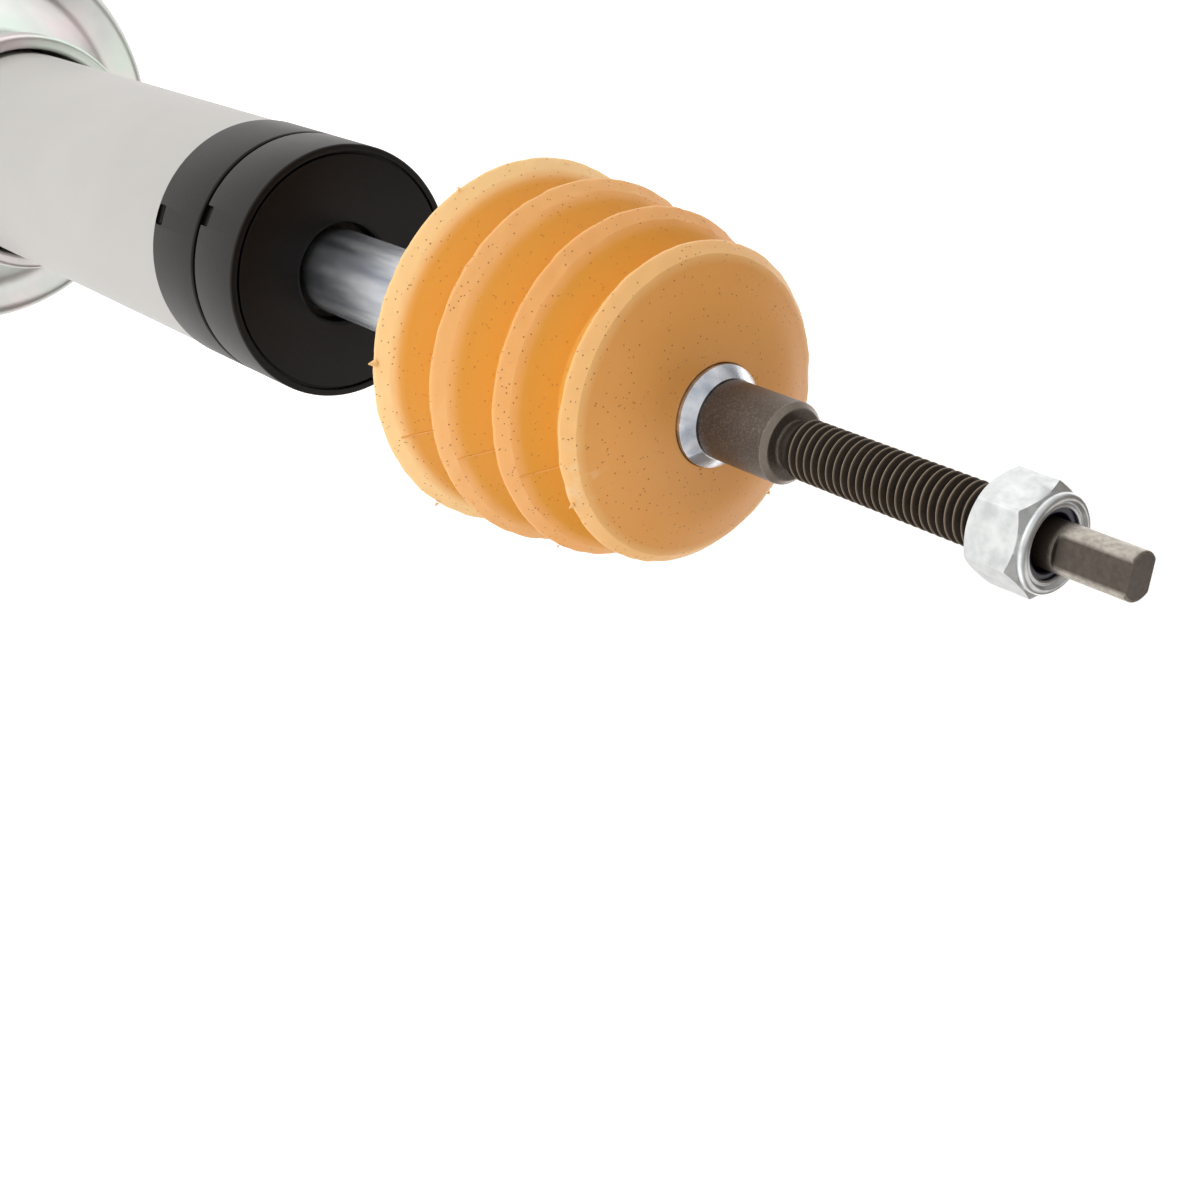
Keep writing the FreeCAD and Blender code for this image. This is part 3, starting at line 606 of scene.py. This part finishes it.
# %% Spring perch
SHEET = 3 * MM
MOUTH_R = 33.9 * MM
MOUTH_OUTER_R = 38.4 * MM
MOUTH_DEPTH = 9 * MM
MOUTH_TAPER = 8 * MM
LAND_R = TUBE_R + 0.3 * MM
LIP = 8 * MM
BEND_R = 9 * MM
LIP_BEND_R = 2.5 * MM
LAND_BEND_R = 6 * MM
SEAT_BEND_R = 4 * MM
FLANGE_TOP = SEAT_LOW + LIP
FLANGE_LOW = FLANGE_TOP - SHEET
SEAT_DROP = 19.5 * MM
CONE_TOP = FLANGE_LOW + SEAT_DROP
CONE_FOOT_R = LAND_R + SEAT_DROP
SHEET_SHIFT = SHEET * (math.sqrt(2) - 1)
LAND_TOP = SEAT_TOP - MOUTH_DEPTH - MOUTH_TAPER
perch = turned("spring_perch", (
    (MOUTH_R, SEAT_TOP, 1.2 * MM), (MOUTH_R, SEAT_TOP - MOUTH_DEPTH, LAND_BEND_R),
    (LAND_R, LAND_TOP, LAND_BEND_R), (LAND_R, CONE_TOP, SEAT_BEND_R),
    (CONE_FOOT_R, FLANGE_LOW, BEND_R + SHEET), (SEAT_R - SHEET, FLANGE_LOW, LIP_BEND_R),
    (SEAT_R - SHEET, SEAT_LOW, 0.4 * MM), (SEAT_R, SEAT_LOW, 0.4 * MM),
    (SEAT_R, FLANGE_TOP, LIP_BEND_R + SHEET), (CONE_FOOT_R + SHEET_SHIFT, FLANGE_TOP, BEND_R),
    (LAND_R + SHEET, CONE_TOP + SHEET_SHIFT, BEND_R), (LAND_R + SHEET, LAND_TOP, LAND_BEND_R),
    (MOUTH_OUTER_R, SEAT_TOP - MOUTH_DEPTH, LAND_BEND_R), (MOUTH_OUTER_R, SEAT_TOP, 1.6 * MM)),
    steps=FINE_STEPS)
seat_on(perch, "seat", zinc_plate, "spring_seat")

# %% [markdown]
# Two moulded rings cover the guide. The rear one is plain; the front one is a cap whose face takes the
# bump stop's blow, with a fine groove round it and a hole for the rod. Each has two small blind notches in
# its rear edge, cut with a block.

# %% Black rings
CAP_EDGE = 0.6 * MM
SPLIT_ROUND = 0.7 * MM
GAP_SHARE = 0.35 * MM
SPIGOT_WALL_R = NECK_R + 0.3 * MM
SPIGOT_END = RING_TOP + 1.2 * MM
CAP_HOLE_R = 12.8 * MM
FACE_GROOVE_R = 31.2 * MM
FACE_GROOVE = 0.7 * MM
FACE_GROOVE_DEPTH = 1 * MM
CAP_WALL_R = NECK_R + 0.03 * MM
NOTCH_SKIN = 0.35 * MM
NOTCH_DEPTH = 4 * MM
NOTCH_WIDTH = 5.4 * MM
NOTCH_SINK = 1.45 * MM
NOTCH_CORNER = 0.8 * MM
NOTCH_BLOCK = 10 * MM
REAR_NOTCH_ANGLES = (-85, 95)
FRONT_NOTCH_ANGLES = (-92, 88)


def rounded_edges(piece, width):
    """Rounds the piece's edges and applies that."""
    edge = piece.modifiers.new("edge", "BEVEL")
    edge.width = width
    edge.segments = 3
    apply_modifiers(piece)


def notch_block(low, high, angle):
    """A round-edged block that sinks one blind notch at an angle round the axis."""
    middle = CAP_R - NOTCH_SINK + NOTCH_BLOCK / 2
    deselect()
    bpy.ops.mesh.primitive_cube_add(size=1, location=(middle, 0, (low + high) / 2))
    block = bpy.context.object
    block.scale = (NOTCH_BLOCK, NOTCH_WIDTH, high - low)
    bpy.ops.object.transform_apply(location=True, rotation=False, scale=True)
    rounded_edges(block, NOTCH_CORNER)
    turn_round_axis(block, angle)
    return block


rear_ring = turned("rear_black_ring", (
    (CAP_WALL_R, RING_LOW), (RING_R, RING_LOW, CAP_EDGE), (RING_R, RING_TOP - GAP_SHARE, SPLIT_ROUND),
    (SPIGOT_WALL_R, RING_TOP - GAP_SHARE), (SPIGOT_WALL_R, SPIGOT_END),
    (CAP_WALL_R, SPIGOT_END)), steps=FINE_STEPS)
for angle in REAR_NOTCH_ANGLES:
    carve(rear_ring, notch_block(RING_LOW + NOTCH_SKIN, RING_LOW + NOTCH_DEPTH, angle), "DIFFERENCE")
seat_on(rear_ring, "barrel", black_plastic, "cap_ring")

front_cap = turned("strike_face_cap", (
    (CAP_HOLE_R, TUBE_TOP), (CAP_WALL_R, TUBE_TOP), (CAP_WALL_R, CAP_LOW + GAP_SHARE),
    (CAP_R, CAP_LOW + GAP_SHARE, SPLIT_ROUND), (CAP_R, CAP_TOP, CAP_EDGE),
    (FACE_GROOVE_R, CAP_TOP, 0.25 * MM), (FACE_GROOVE_R, CAP_TOP - FACE_GROOVE_DEPTH),
    (FACE_GROOVE_R - FACE_GROOVE, CAP_TOP - FACE_GROOVE_DEPTH),
    (FACE_GROOVE_R - FACE_GROOVE, CAP_TOP, 0.25 * MM), (CAP_HOLE_R, CAP_TOP, 1.2 * MM)), steps=FINE_STEPS)
for angle in FRONT_NOTCH_ANGLES:
    carve(front_cap, notch_block(CAP_LOW - NOTCH_DEPTH, CAP_LOW + NOTCH_DEPTH, angle), "DIFFERENCE")
seat_on(front_cap, "barrel", black_plastic, "strike_cap")

# %% [markdown]
# The bump stop is a soft spring of urethane foam: a stack of discs with deep grooves between them, so that
# it folds disc by disc. Its section goes down the outside with a round lip at each disc and a round bottom
# in each groove, with extra points along the flanks for the painted sheen and shade. It rides on the rod;
# on the real strut it flattens as the rod drives it onto the cap.

# %% Bump stop
BUMP_LENGTH = ROD_TOP - BUMP_LOW
FACE_R = 21 * MM
FACE_DROP = 2.2 * MM
FACE_ROUND = 40 * MM
# Each disc: how far down it is widest and how wide, as shares, and the round of its front edge in mm
DISCS = ((0.144, FRONT_SHARE, 0.4), (0.386, 0.908, 0.7), (0.656, 0.969, 1.8), (0.937, 1.0, 0.9))
DISC_BAND = 3 * MM
BAND_SLOPE = 2.6 * MM
LIP_ROUND = 0.9 * MM
BUMP_GROOVE = 10.5 * MM
GROOVE_FLAT = 2.4 * MM
GROOVE_ROUND = 0.9 * MM
TAIL_SLOPE = 6 * MM
PAINT_STEP = 1.2 * MM
bump_corners = [(ROD_R + 0.1 * MM, BUMP_LOW), (ROD_R + 0.1 * MM, BUMP_TOP, 0.35 * MM),
                (FACE_R, ROD_TOP - FACE_DROP, FACE_ROUND)]
disc_flanks = []
for index, (drop, share, edge_round) in enumerate(DISCS):
    widest = ROD_TOP - drop * BUMP_LENGTH
    disc_r = share * BUMP_R
    front_edge = (disc_r - BAND_SLOPE, widest + DISC_BAND)
    if index:
        groove_z = (front_edge[1] + bump_corners[-1][1]) / 2
        groove_r = disc_r - BUMP_GROOVE
        bump_corners.append((groove_r, groove_z + GROOVE_FLAT / 2, GROOVE_ROUND))
        bump_corners.append((groove_r, groove_z - GROOVE_FLAT / 2, GROOVE_ROUND))
        disc_flanks.append(((groove_r, groove_z - GROOVE_FLAT / 2), front_edge))
    bump_corners.append((*front_edge, edge_round * MM))
    bump_corners.append((disc_r, widest, LIP_ROUND))
bump_corners.append((BUMP_R - TAIL_SLOPE, BUMP_LOW, 1 * MM))
bump = turned("bump_stop_foam", bump_corners, steps=FOAM_STEPS, longest=PAINT_STEP)
print("bump stop has", len(bump.data.polygons), "faces and", len(DISCS), "discs")

# %% [markdown]
# The foam gets painted sheen on the lips and painted shade on the flanks and in the grooves. A mask in the
# material would have to know every disc, so each point of the mesh is painted by its own place instead: red
# says how much painted sheen it gets and green how much painted shade. It is painted while the lips are still
# round.

# %% Painted sheen and shade on the foam
# How much painted sheen each disc's lip gets, and how far it reaches and fades
LIP_SHEEN_SHARES = (0.5, 0.2, 0.3, 0.9)
SHEEN_REACH = 5 * MM
SHEEN_FADE = 6 * MM
FACE_SHEEN_SHARE = 0.08


def eased(share):
    """The same share, held between 0 and 1 and softened at both ends."""
    share = min(max(share, 0.0), 1.0)
    return share * share * (3 - 2 * share)


def paint_sheen_and_shade(piece):
    """Paints sheen (red) and shade (green) into the foam's colour: sheen on the lips, shade on flanks and
    grooves.
    """
    skin = piece.data.attributes.new("skin", "FLOAT_COLOR", "POINT")
    front = ROD_TOP - DISCS[0][0] * BUMP_LENGTH - 0.5 * MM
    for vertex in piece.data.vertices:
        radius = math.hypot(vertex.co.x, vertex.co.y)
        pale, near = 0.0, 0.0
        for (drop, share, _), paleness in zip(DISCS, LIP_SHEEN_SHARES):
            middle = ROD_TOP - drop * BUMP_LENGTH + DISC_BAND / 2
            along = 1 - eased((abs(vertex.co.z - middle) - DISC_BAND / 2) / SHEEN_FADE)
            across = eased((radius - share * BUMP_R + SHEEN_REACH) / (SHEEN_REACH - BAND_SLOPE))
            near = max(near, along * across)
            pale = max(pale, paleness * along * across)
        on_face = vertex.co.z > front + DISC_BAND + 1 * MM
        pale = FACE_SHEEN_SHARE if on_face else pale
        deep = 0.0 if vertex.co.z > front else 1.0 - near
        skin.data[vertex.index].color = (pale, deep, 0, 1)


def paint_plain(piece, colour):
    """Gives the whole of a small piece one share of painted sheen and of painted shade."""
    skin = piece.data.attributes.new("skin", "FLOAT_COLOR", "POINT")
    for entry in skin.data:
        entry.color = colour
    return piece


paint_sheen_and_shade(bump)
print("painted", len(bump.data.vertices), "points of the foam")

# %% [markdown]
# A foam part comes out of a split mould: a fine raised line shows where the halves met, and thin flash is
# left on the lips. The lips are roughened by a Displace modifier that works only on their vertices, and the
# lines and nibs are small bars and cones joined to the discs.

# %% Flash and parting lines
PARTING_ANGLES = (-43, 137)
LINE_WIDTH = 0.35 * MM
FLASH_DEPTH = 0.5 * MM
CLOUD_SIZE = 4 * MM
# Each nib: its angle round the axis, its disc and its size in mm
NIBS = ((-68, 3, 0.85), (-127, 3, 0.4), (-38, 0, 0.55), (-13, 3, 0.5), (-8, 1, 0.35), (160, 3, 0.6),
        (70, 0, 0.5))
# Parting lines get a little painted sheen and painted shade, nibs a strong painted sheen
LINE_SHEEN_AND_SHADE = (0.1, 0.35, 0, 1)
NIB_SHEEN = (0.8, 0, 0, 1)


def roughen_lips(piece):
    """Pushes the lip vertices in and out by a cloud texture, so that the rims look cast."""
    lips = piece.vertex_groups.new(name="lips")
    for vertex in piece.data.vertices:
        radius = math.hypot(vertex.co.x, vertex.co.y)
        for drop, share, _ in DISCS:
            widest = ROD_TOP - drop * BUMP_LENGTH
            at_lip = abs(vertex.co.z - widest) < DISC_BAND + 1 * MM
            if at_lip and radius > share * BUMP_R - BAND_SLOPE - 0.6 * MM:
                lips.add([vertex.index], 1.0, "REPLACE")
    cloud = bpy.data.textures.new("lip_cloud", "CLOUDS")
    cloud.noise_scale = CLOUD_SIZE
    push = piece.modifiers.new("lips", "DISPLACE")
    push.texture = cloud
    push.texture_coords = "LOCAL"
    push.vertex_group = "lips"
    push.strength = FLASH_DEPTH
    push.mid_level = 0.6
    apply_modifiers(piece)
    piece.vertex_groups.clear()


def raised_line(low, high, angle):
    """A fine bar along a disc's flank, between two (radius, height) points, at an angle round the axis."""
    run, rise = high[0] - low[0], high[1] - low[1]
    deselect()
    bpy.ops.mesh.primitive_cube_add(size=1, location=(0, 0, 0))
    bar = bpy.context.object
    bar.scale = (math.hypot(run, rise), LINE_WIDTH, LINE_WIDTH)
    bpy.ops.object.transform_apply(location=False, rotation=False, scale=True)
    bar.rotation_euler.y = -math.atan2(rise, run)
    bar.location = ((low[0] + high[0]) / 2, 0, (low[1] + high[1]) / 2)
    bpy.ops.object.transform_apply(location=True, rotation=True, scale=False)
    turn_round_axis(bar, angle)
    return paint_plain(bar, LINE_SHEEN_AND_SHADE)


def nib(angle, disc, size):
    """A little cone of flash standing out from a disc's widest circle."""
    drop, share = DISCS[disc][:2]
    height = size * 2 * MM
    deselect()
    bpy.ops.mesh.primitive_cone_add(
        vertices=7, radius1=size * MM, radius2=0.15 * size * MM, depth=height,
        location=(share * BUMP_R + 0.2 * height, 0, ROD_TOP - drop * BUMP_LENGTH + 0.6 * MM),
        rotation=(0, math.pi / 2, 0))
    cone = bpy.context.object
    bpy.ops.object.transform_apply(location=True, rotation=True, scale=False)
    turn_round_axis(cone, angle)
    return paint_plain(cone, NIB_SHEEN)


roughen_lips(bump)
extras = [raised_line(*flank, angle) for flank in disc_flanks for angle in PARTING_ANGLES]
extras += [nib(*spot) for spot in NIBS]
bump = joined(bump, *extras)
bpy.ops.object.shade_smooth_by_angle(angle=SMOOTH_ANGLE)
seat_on(bump, "rod", urethane, "bump_stop")
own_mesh(bump)
print("flash:", len(NIBS), "nibs and", len(extras) - len(NIBS), "parting lines")

# %% [markdown]
# Rod, stem, thread and tip are one bar, but they wear two finishes: hard chrome up to the shoulder and a
# dark phosphate above it. So the bar is modelled as two pieces that meet at the chamfered shoulder.

# %% Chromed rod
ROD_CHAMFER = 2.35 * MM
CHROME_TOP = ROD_TOP + 2 * MM
SPIGOT_R = 7 * MM
SPIGOT_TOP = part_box("top_washer")[1].z
rod = turned("chromed_rod", (
    (0, ROD_LOW), (SPIGOT_R, ROD_LOW, 1 * MM), (SPIGOT_R, SPIGOT_TOP), (ROD_R, SPIGOT_TOP, 1 * MM),
    (ROD_R, CHROME_TOP - ROD_CHAMFER, 0.15 * MM), (ROD_R - ROD_CHAMFER, CHROME_TOP, 0.1 * MM),
    (0, CHROME_TOP)), closed=False)
seat_on(rod, "rod", chrome_rod, "piston_rod")

# %% [markdown]
# The thread is a real helix: one tooth is swept up the stem by a Screw modifier and crossed with a turned
# envelope, which runs it out at both ends. Shoulder and tip are turned, and two blocks mill the tip's flats.

# %% Stem, thread and tip
STEM_CHAMFER = 1.1 * MM
STEM_UNDERCUT = 0.4 * MM
UNDERCUT_WIDTH = 2.4 * MM
THREAD_TOP = TIP_TOP - 22.2 * MM
ROOT_R = 5.05 * MM
PITCH = 1.98 * MM
CREST = 0.13 * MM
SCREW_STEPS = 64
SPARE_TURNS = 5
RELIEF_R = 5 * MM
RELIEF_TOP = STEM_TOP + 2.4 * MM
TIP_EDGE = 0.5 * MM
TIP_FLATS = 6.4 * MM
TIP_FLAT_LENGTH = 15 * MM
TIP_FLAT_ANGLE = -73
FLAT_ROUND = 0.8 * MM


def screw_thread():
    """One tooth of the thread, swept up the stem by the Screw modifier and capped at both ends."""
    slope = (PITCH - 3 * CREST) / 2
    start = STEM_TOP - 2 * PITCH
    piece = draw("stem_thread", (
        (ROOT_R, start), (ROOT_R, start + 2 * CREST), (THREAD_R, start + 2 * CREST + slope),
        (THREAD_R, start + 3 * CREST + slope), (ROOT_R, start + PITCH)), False)
    bpy.ops.object.mode_set(mode="OBJECT")
    sweep = piece.modifiers.new("sweep", "SCREW")
    sweep.axis = "Z"
    sweep.steps = SCREW_STEPS
    sweep.render_steps = SCREW_STEPS
    sweep.screw_offset = PITCH
    sweep.iterations = round((THREAD_TOP - STEM_TOP) / PITCH) + SPARE_TURNS
    sweep.use_merge_vertices = True
    sweep.merge_threshold = MERGE
    apply_modifiers(piece)
    bpy.ops.object.mode_set(mode="EDIT")
    bpy.ops.mesh.select_all(action="SELECT")
    bpy.ops.mesh.remove_doubles(threshold=MERGE)
    bpy.ops.mesh.select_all(action="DESELECT")
    bpy.ops.mesh.select_non_manifold()
    bpy.ops.mesh.edge_face_add()
    bpy.ops.mesh.select_all(action="SELECT")
    bpy.ops.mesh.quads_convert_to_tris()
    return close_up()


thread = screw_thread()
envelope = turned("thread_envelope", (
    (0, RELIEF_TOP - 1 * MM), (ROOT_R - 0.02 * MM, RELIEF_TOP - 1 * MM), (ROOT_R - 0.02 * MM, RELIEF_TOP),
    (THREAD_R, RELIEF_TOP + 1.1 * MM), (THREAD_R, THREAD_TOP - 1.5 * MM), (TIP_R, THREAD_TOP),
    (0, THREAD_TOP)), closed=False, steps=96)
carve(thread, envelope, "INTERSECT")
print("thread has", len(thread.data.polygons), "faces")

stem = turned("threaded_stem", (
    (0, ROD_TOP), (STEM_R - STEM_UNDERCUT, ROD_TOP), (STEM_R - STEM_UNDERCUT, ROD_TOP + UNDERCUT_WIDTH),
    (STEM_R, ROD_TOP + UNDERCUT_WIDTH, 0.3 * MM), (STEM_R, STEM_TOP - STEM_CHAMFER, 0.15 * MM),
    (STEM_R - STEM_CHAMFER, STEM_TOP, 0.15 * MM), (RELIEF_R, STEM_TOP, 0.5 * MM),
    (RELIEF_R, RELIEF_TOP), (0, RELIEF_TOP)), closed=False)
tip = turned("stem_tip", (
    (0, THREAD_TOP - 1 * MM), (TIP_R, THREAD_TOP - 1 * MM), (TIP_R, TIP_TOP, TIP_EDGE), (0, TIP_TOP)),
    closed=False)
for side in (0, 180):
    deselect()
    bpy.ops.mesh.primitive_cube_add(size=4 * TIP_R, location=(0, 0, 0))
    block = bpy.context.object
    block.location = (TIP_FLATS / 2 + 2 * TIP_R, 0, TIP_TOP - TIP_FLAT_LENGTH + 2 * TIP_R)
    bpy.ops.object.transform_apply(location=True, rotation=False, scale=False)
    rounded_edges(block, FLAT_ROUND)
    turn_round_axis(block, TIP_FLAT_ANGLE + side)
    carve(tip, block, "DIFFERENCE")
stem = joined(stem, thread, tip)
seat_on(stem, "rod", dark_phosphate)

# %% [markdown]
# The lock nut starts as a six-sided cylinder. Crossing it with a turned envelope gives the curved
# chamfers at its corners, as the lathe does on a real one. A turned bore goes through it, and a collar,
# crimped inwards, is joined on top and holds the nylon ring.

# %% Lock nut
ACROSS_FLATS = 19 * MM
CORNER_R = ACROSS_FLATS / math.sqrt(3)
NUT_CORNER_ANGLE = -46
NUT_HEX_TOP = NUT_FOOT + 11.6 * MM
COLLAR_R = 9.35 * MM
COLLAR_LOW = NUT_FOOT + 9.5 * MM
COLLAR_MOUTH_R = 6.7 * MM
LIP_R = 8.1 * MM
FRONT_CUT = 1.7 * MM
FOOT_CUT = 2.1 * MM
SLOPE = math.tan(math.radians(38))
INSERT_BORE_R = 5.4 * MM
deselect()
bpy.ops.mesh.primitive_cylinder_add(
    vertices=6, radius=CORNER_R, depth=NUT_HEX_TOP - NUT_FOOT, location=(0, 0, (NUT_FOOT + NUT_HEX_TOP) / 2))
nut = bpy.context.object
nut.name = "hex_lock_nut"
nut.rotation_euler.z = math.radians(NUT_CORNER_ANGLE - 90)
bpy.ops.object.transform_apply(location=True, rotation=True, scale=False)
corners = nut.modifiers.new("corners", "BEVEL")
corners.width = 0.3 * MM
corners.segments = 2
corners.limit_method = "ANGLE"
apply_modifiers(nut)
nut_form = turned("nut_envelope", (
    (0, NUT_FOOT), (CORNER_R - FOOT_CUT, NUT_FOOT), (CORNER_R + 0.1 * MM, NUT_FOOT + FOOT_CUT * SLOPE),
    (CORNER_R + 0.1 * MM, NUT_HEX_TOP - FRONT_CUT * SLOPE), (CORNER_R - FRONT_CUT, NUT_HEX_TOP),
    (0, NUT_HEX_TOP)), closed=False)
carve(nut, nut_form, "INTERSECT")
nut_bore = turned("nut_bore", (
    (0, NUT_FOOT - 1 * MM), (THREAD_R + 1 * MM, NUT_FOOT - 1 * MM), (THREAD_R + 1 * MM, NUT_FOOT),
    (THREAD_R + 0.05 * MM, NUT_FOOT + 1 * MM), (THREAD_R + 0.05 * MM, INSERT_LOW), (INSERT_R, INSERT_LOW),
    (INSERT_R, NUT_TOP + 1 * MM), (0, NUT_TOP + 1 * MM)), closed=False)
carve(nut, nut_bore, "DIFFERENCE")
nut_collar = turned("nut_collar", (
    (INSERT_R - 0.02 * MM, COLLAR_LOW), (COLLAR_R - 0.25 * MM, COLLAR_LOW),
    (COLLAR_R - 0.25 * MM, NUT_HEX_TOP + 0.2 * MM), (COLLAR_R, NUT_HEX_TOP + 0.6 * MM, 0.3 * MM),
    (COLLAR_R, NUT_TOP, 1 * MM), (LIP_R, NUT_TOP, 0.2 * MM),
    (LIP_R - 0.5 * MM, NUT_TOP - 0.75 * MM, 0.2 * MM),
    (COLLAR_MOUTH_R + 0.35 * MM, NUT_TOP - 0.5 * MM, 0.12 * MM), (COLLAR_MOUTH_R, NUT_TOP - 0.7 * MM),
    (COLLAR_MOUTH_R, NUT_TOP - 1.1 * MM), (INSERT_R - 0.02 * MM, NUT_TOP - 1.1 * MM)))
nut = joined(nut, nut_collar)
seat_on(nut, "rod", zinc_plate, "lock_nut")
ring = turned("nylon_ring", (
    (INSERT_BORE_R, INSERT_LOW), (INSERT_R - 0.05 * MM, INSERT_LOW),
    (INSERT_R - 0.05 * MM, INSERT_TOP - 0.8 * MM), (INSERT_BORE_R, INSERT_TOP - 0.8 * MM, 0.5 * MM)))
seat_on(ring, "rod", nylon, "nut_insert")

# %% [markdown]
# Below the perch nothing shows in the picture, but the part is looked at from all sides, so the eye, its
# bushing and the inner pieces keep their CAD meshes and take the same finishes.

# %% Finishes on the other CAD nodes
NODE_FINISHES = {
    tube_paint: ("lower_eye", "base_cap"),
    rubber_black: ("eye_bushing", "rod_seal", "guide_o_ring", "wiper_seal", "dividing_o_ring"),
    zinc_plate: ("eye_sleeve",),
    dark_phosphate: ("seat_clip", "piston_nut", "gas_plug"),
    plain_steel: ("seal_washer", "guide_snap_ring", "guide_bush", "rebound_retainer", "top_washer",
                  "compression_shims", "rebound_shims", "bottom_washer", "piston"),
    machined_aluminium: ("rod_guide", "dividing_piston"),
    ptfe_band: ("piston_band", "dividing_band"),
    bumper_plastic: ("rebound_bumper",),
}
for finish, names in NODE_FINISHES.items():
    for name in names:
        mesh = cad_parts[name].data
        mesh.materials.clear()
        mesh.materials.append(finish)
print("finishes on", sum(len(names) for names in NODE_FINISHES.values()), "CAD nodes")

# %% [markdown]
# A product picture on white has a pale floor, soft light from large panels and a white background. The
# floor is a pale plane; a share of glow for camera, mirror and glass rays lifts it to white, while the light
# that falls on it still gives the shadow. The camera sees a white world, and the strut one that is dim on
# the side that its bright pieces mirror.

# %% Floor and world
FLOOR_SIZE = 8
FLOOR_SHIFT = 1.5
FLOOR_GLOW = 0.68
BRIGHT_SKY = (0.95, 0.95, 0.95, 1)
DIM_SKY = (0.13, 0.09, 0.065, 1)
DIM_SIDE = (0.114, 0.697, 0.708)
FADE_FROM = 0.1
FADE_TO = 0.65
WHITE = (1, 1, 1, 1)
deselect()
bpy.ops.mesh.primitive_plane_add(size=FLOOR_SIZE, location=(0, FLOOR_SHIFT, cad_box[0].z))
floor = bpy.context.object
floor.name = "pale_floor"
white = bpy.data.materials.new("pale_floor")
white.use_nodes = True
white_nodes = white.node_tree.nodes
white_shader = white_nodes["Principled BSDF"]
white_shader.inputs["Base Color"].default_value = (0.8, 0.8, 0.8, 1)
white_shader.inputs["Roughness"].default_value = 0.9
rays = white_nodes.new("ShaderNodeLightPath").outputs
seen = maths(white, "ADD", rays["Is Camera Ray"], rays["Is Glossy Ray"])
seen = maths(white, "ADD", seen, rays["Is Transmission Ray"])
glow = white_nodes.new("ShaderNodeEmission")
wire(white, maths(white, "MULTIPLY", seen, FLOOR_GLOW), glow.inputs["Strength"])
both = white_nodes.new("ShaderNodeAddShader")
wire(white, white_shader.outputs["BSDF"], both.inputs[0])
wire(white, glow.outputs["Emission"], both.inputs[1])
wire(white, both.outputs["Shader"], white_nodes["Material Output"].inputs["Surface"])
floor.data.materials.append(white)

world = bpy.data.worlds.new("studio")
bpy.context.scene.world = world
world.use_nodes = True
sky_nodes = world.node_tree.nodes
towards = sky_nodes.new("ShaderNodeTexCoord").outputs["Generated"]
facing = vector_maths(world, "DOT_PRODUCT", towards, DIM_SIDE).outputs["Value"]
room = mixed(world, ranged(world, facing, 0, 1, FADE_FROM, FADE_TO), BRIGHT_SKY, DIM_SKY)
camera_rays = sky_nodes.new("ShaderNodeLightPath").outputs["Is Camera Ray"]
wire(world, mixed(world, camera_rays, room, WHITE), sky_nodes["Background"].inputs["Color"])
print("floor at", round(cad_box[0].z / MM, 1), "mm; the room fades towards", DIM_SIDE)

# %% [markdown]
# The camera was solved from the picture: the strut lies across it with its stem towards the viewer, so the
# camera looks down along the standing strut and is rolled.

# %% Camera
CAMERA_PLACE = (0, -0.279178, 0.781632)
CAMERA_TURN = (-24.81821, -38.92513, 117.11770)
CAMERA_LENS = 56.20128
deselect()
bpy.ops.object.camera_add(location=CAMERA_PLACE, rotation=[math.radians(turn) for turn in CAMERA_TURN])
camera = bpy.context.object
camera.data.lens = CAMERA_LENS
camera.data.sensor_width = 36
camera.data.clip_start = 0.01
camera.data.clip_end = 20
bpy.context.scene.camera = camera
bpy.context.view_layer.update()
back = camera.matrix_world.to_3x3() @ Vector((0, 0, 1))
print("camera looks along", [round(value, 3) for value in -back])

# %% [markdown]
# The light in the picture is soft and broad. Three large panels light the strut from the top, the left and
# the foot of the picture, and three small ones light the perch, the nut and the nut's corners.

# %% Soft panels
AIM = Vector((0, 0, 0.44))
PERCH = Vector((0, 0, 0.13))
NUT = Vector((0, 0, 0.59))
TOP_POWER = 2.4
LEFT_POWER = 2.0
LOW_POWER = 2.4
PERCH_POWER = 0.75
NUT_POWER = 0.46
CORNER_POWER = 0.1


def panel(name, target, offset, width, height, power):
    """A soft panel that many metres from its target, facing it and unseen by the camera."""
    place = target + Vector(offset)
    deselect()
    bpy.ops.object.light_add(type="AREA", location=place)
    lamp = bpy.context.object
    lamp.name = name
    lamp.data.shape = "RECTANGLE"
    lamp.data.size = width
    lamp.data.size_y = height
    lamp.data.energy = power
    lamp.visible_camera = False
    lamp.rotation_euler = (target - place).to_track_quat("-Z", "Y").to_euler()
    print(name, "is", round((place - target).length, 2), "m away")


panel("top_panel", AIM, (-0.7, 0.08, -0.32), 1.3, 0.8, TOP_POWER)
panel("left_panel", AIM, (-0.15, -0.75, -0.16), 1.0, 0.55, LEFT_POWER)
panel("low_panel", AIM, (0.7, -0.2, 0.04), 1.0, 0.55, LOW_POWER)
panel("perch_panel", PERCH, (-0.03, 0.34, 0.3), 0.5, 0.34, PERCH_POWER)
panel("nut_panel", NUT, (0.09, 0.29, 0.3), 0.4, 0.3, NUT_POWER)
panel("corner_panel", NUT, (0.36, 0.07, 0.37), 0.3, 0.24, CORNER_POWER)

# %% [markdown]
# The last cell sets the view transform to Standard.

# %% View transform
view_settings = bpy.context.scene.view_settings
view_settings.view_transform = "Standard"
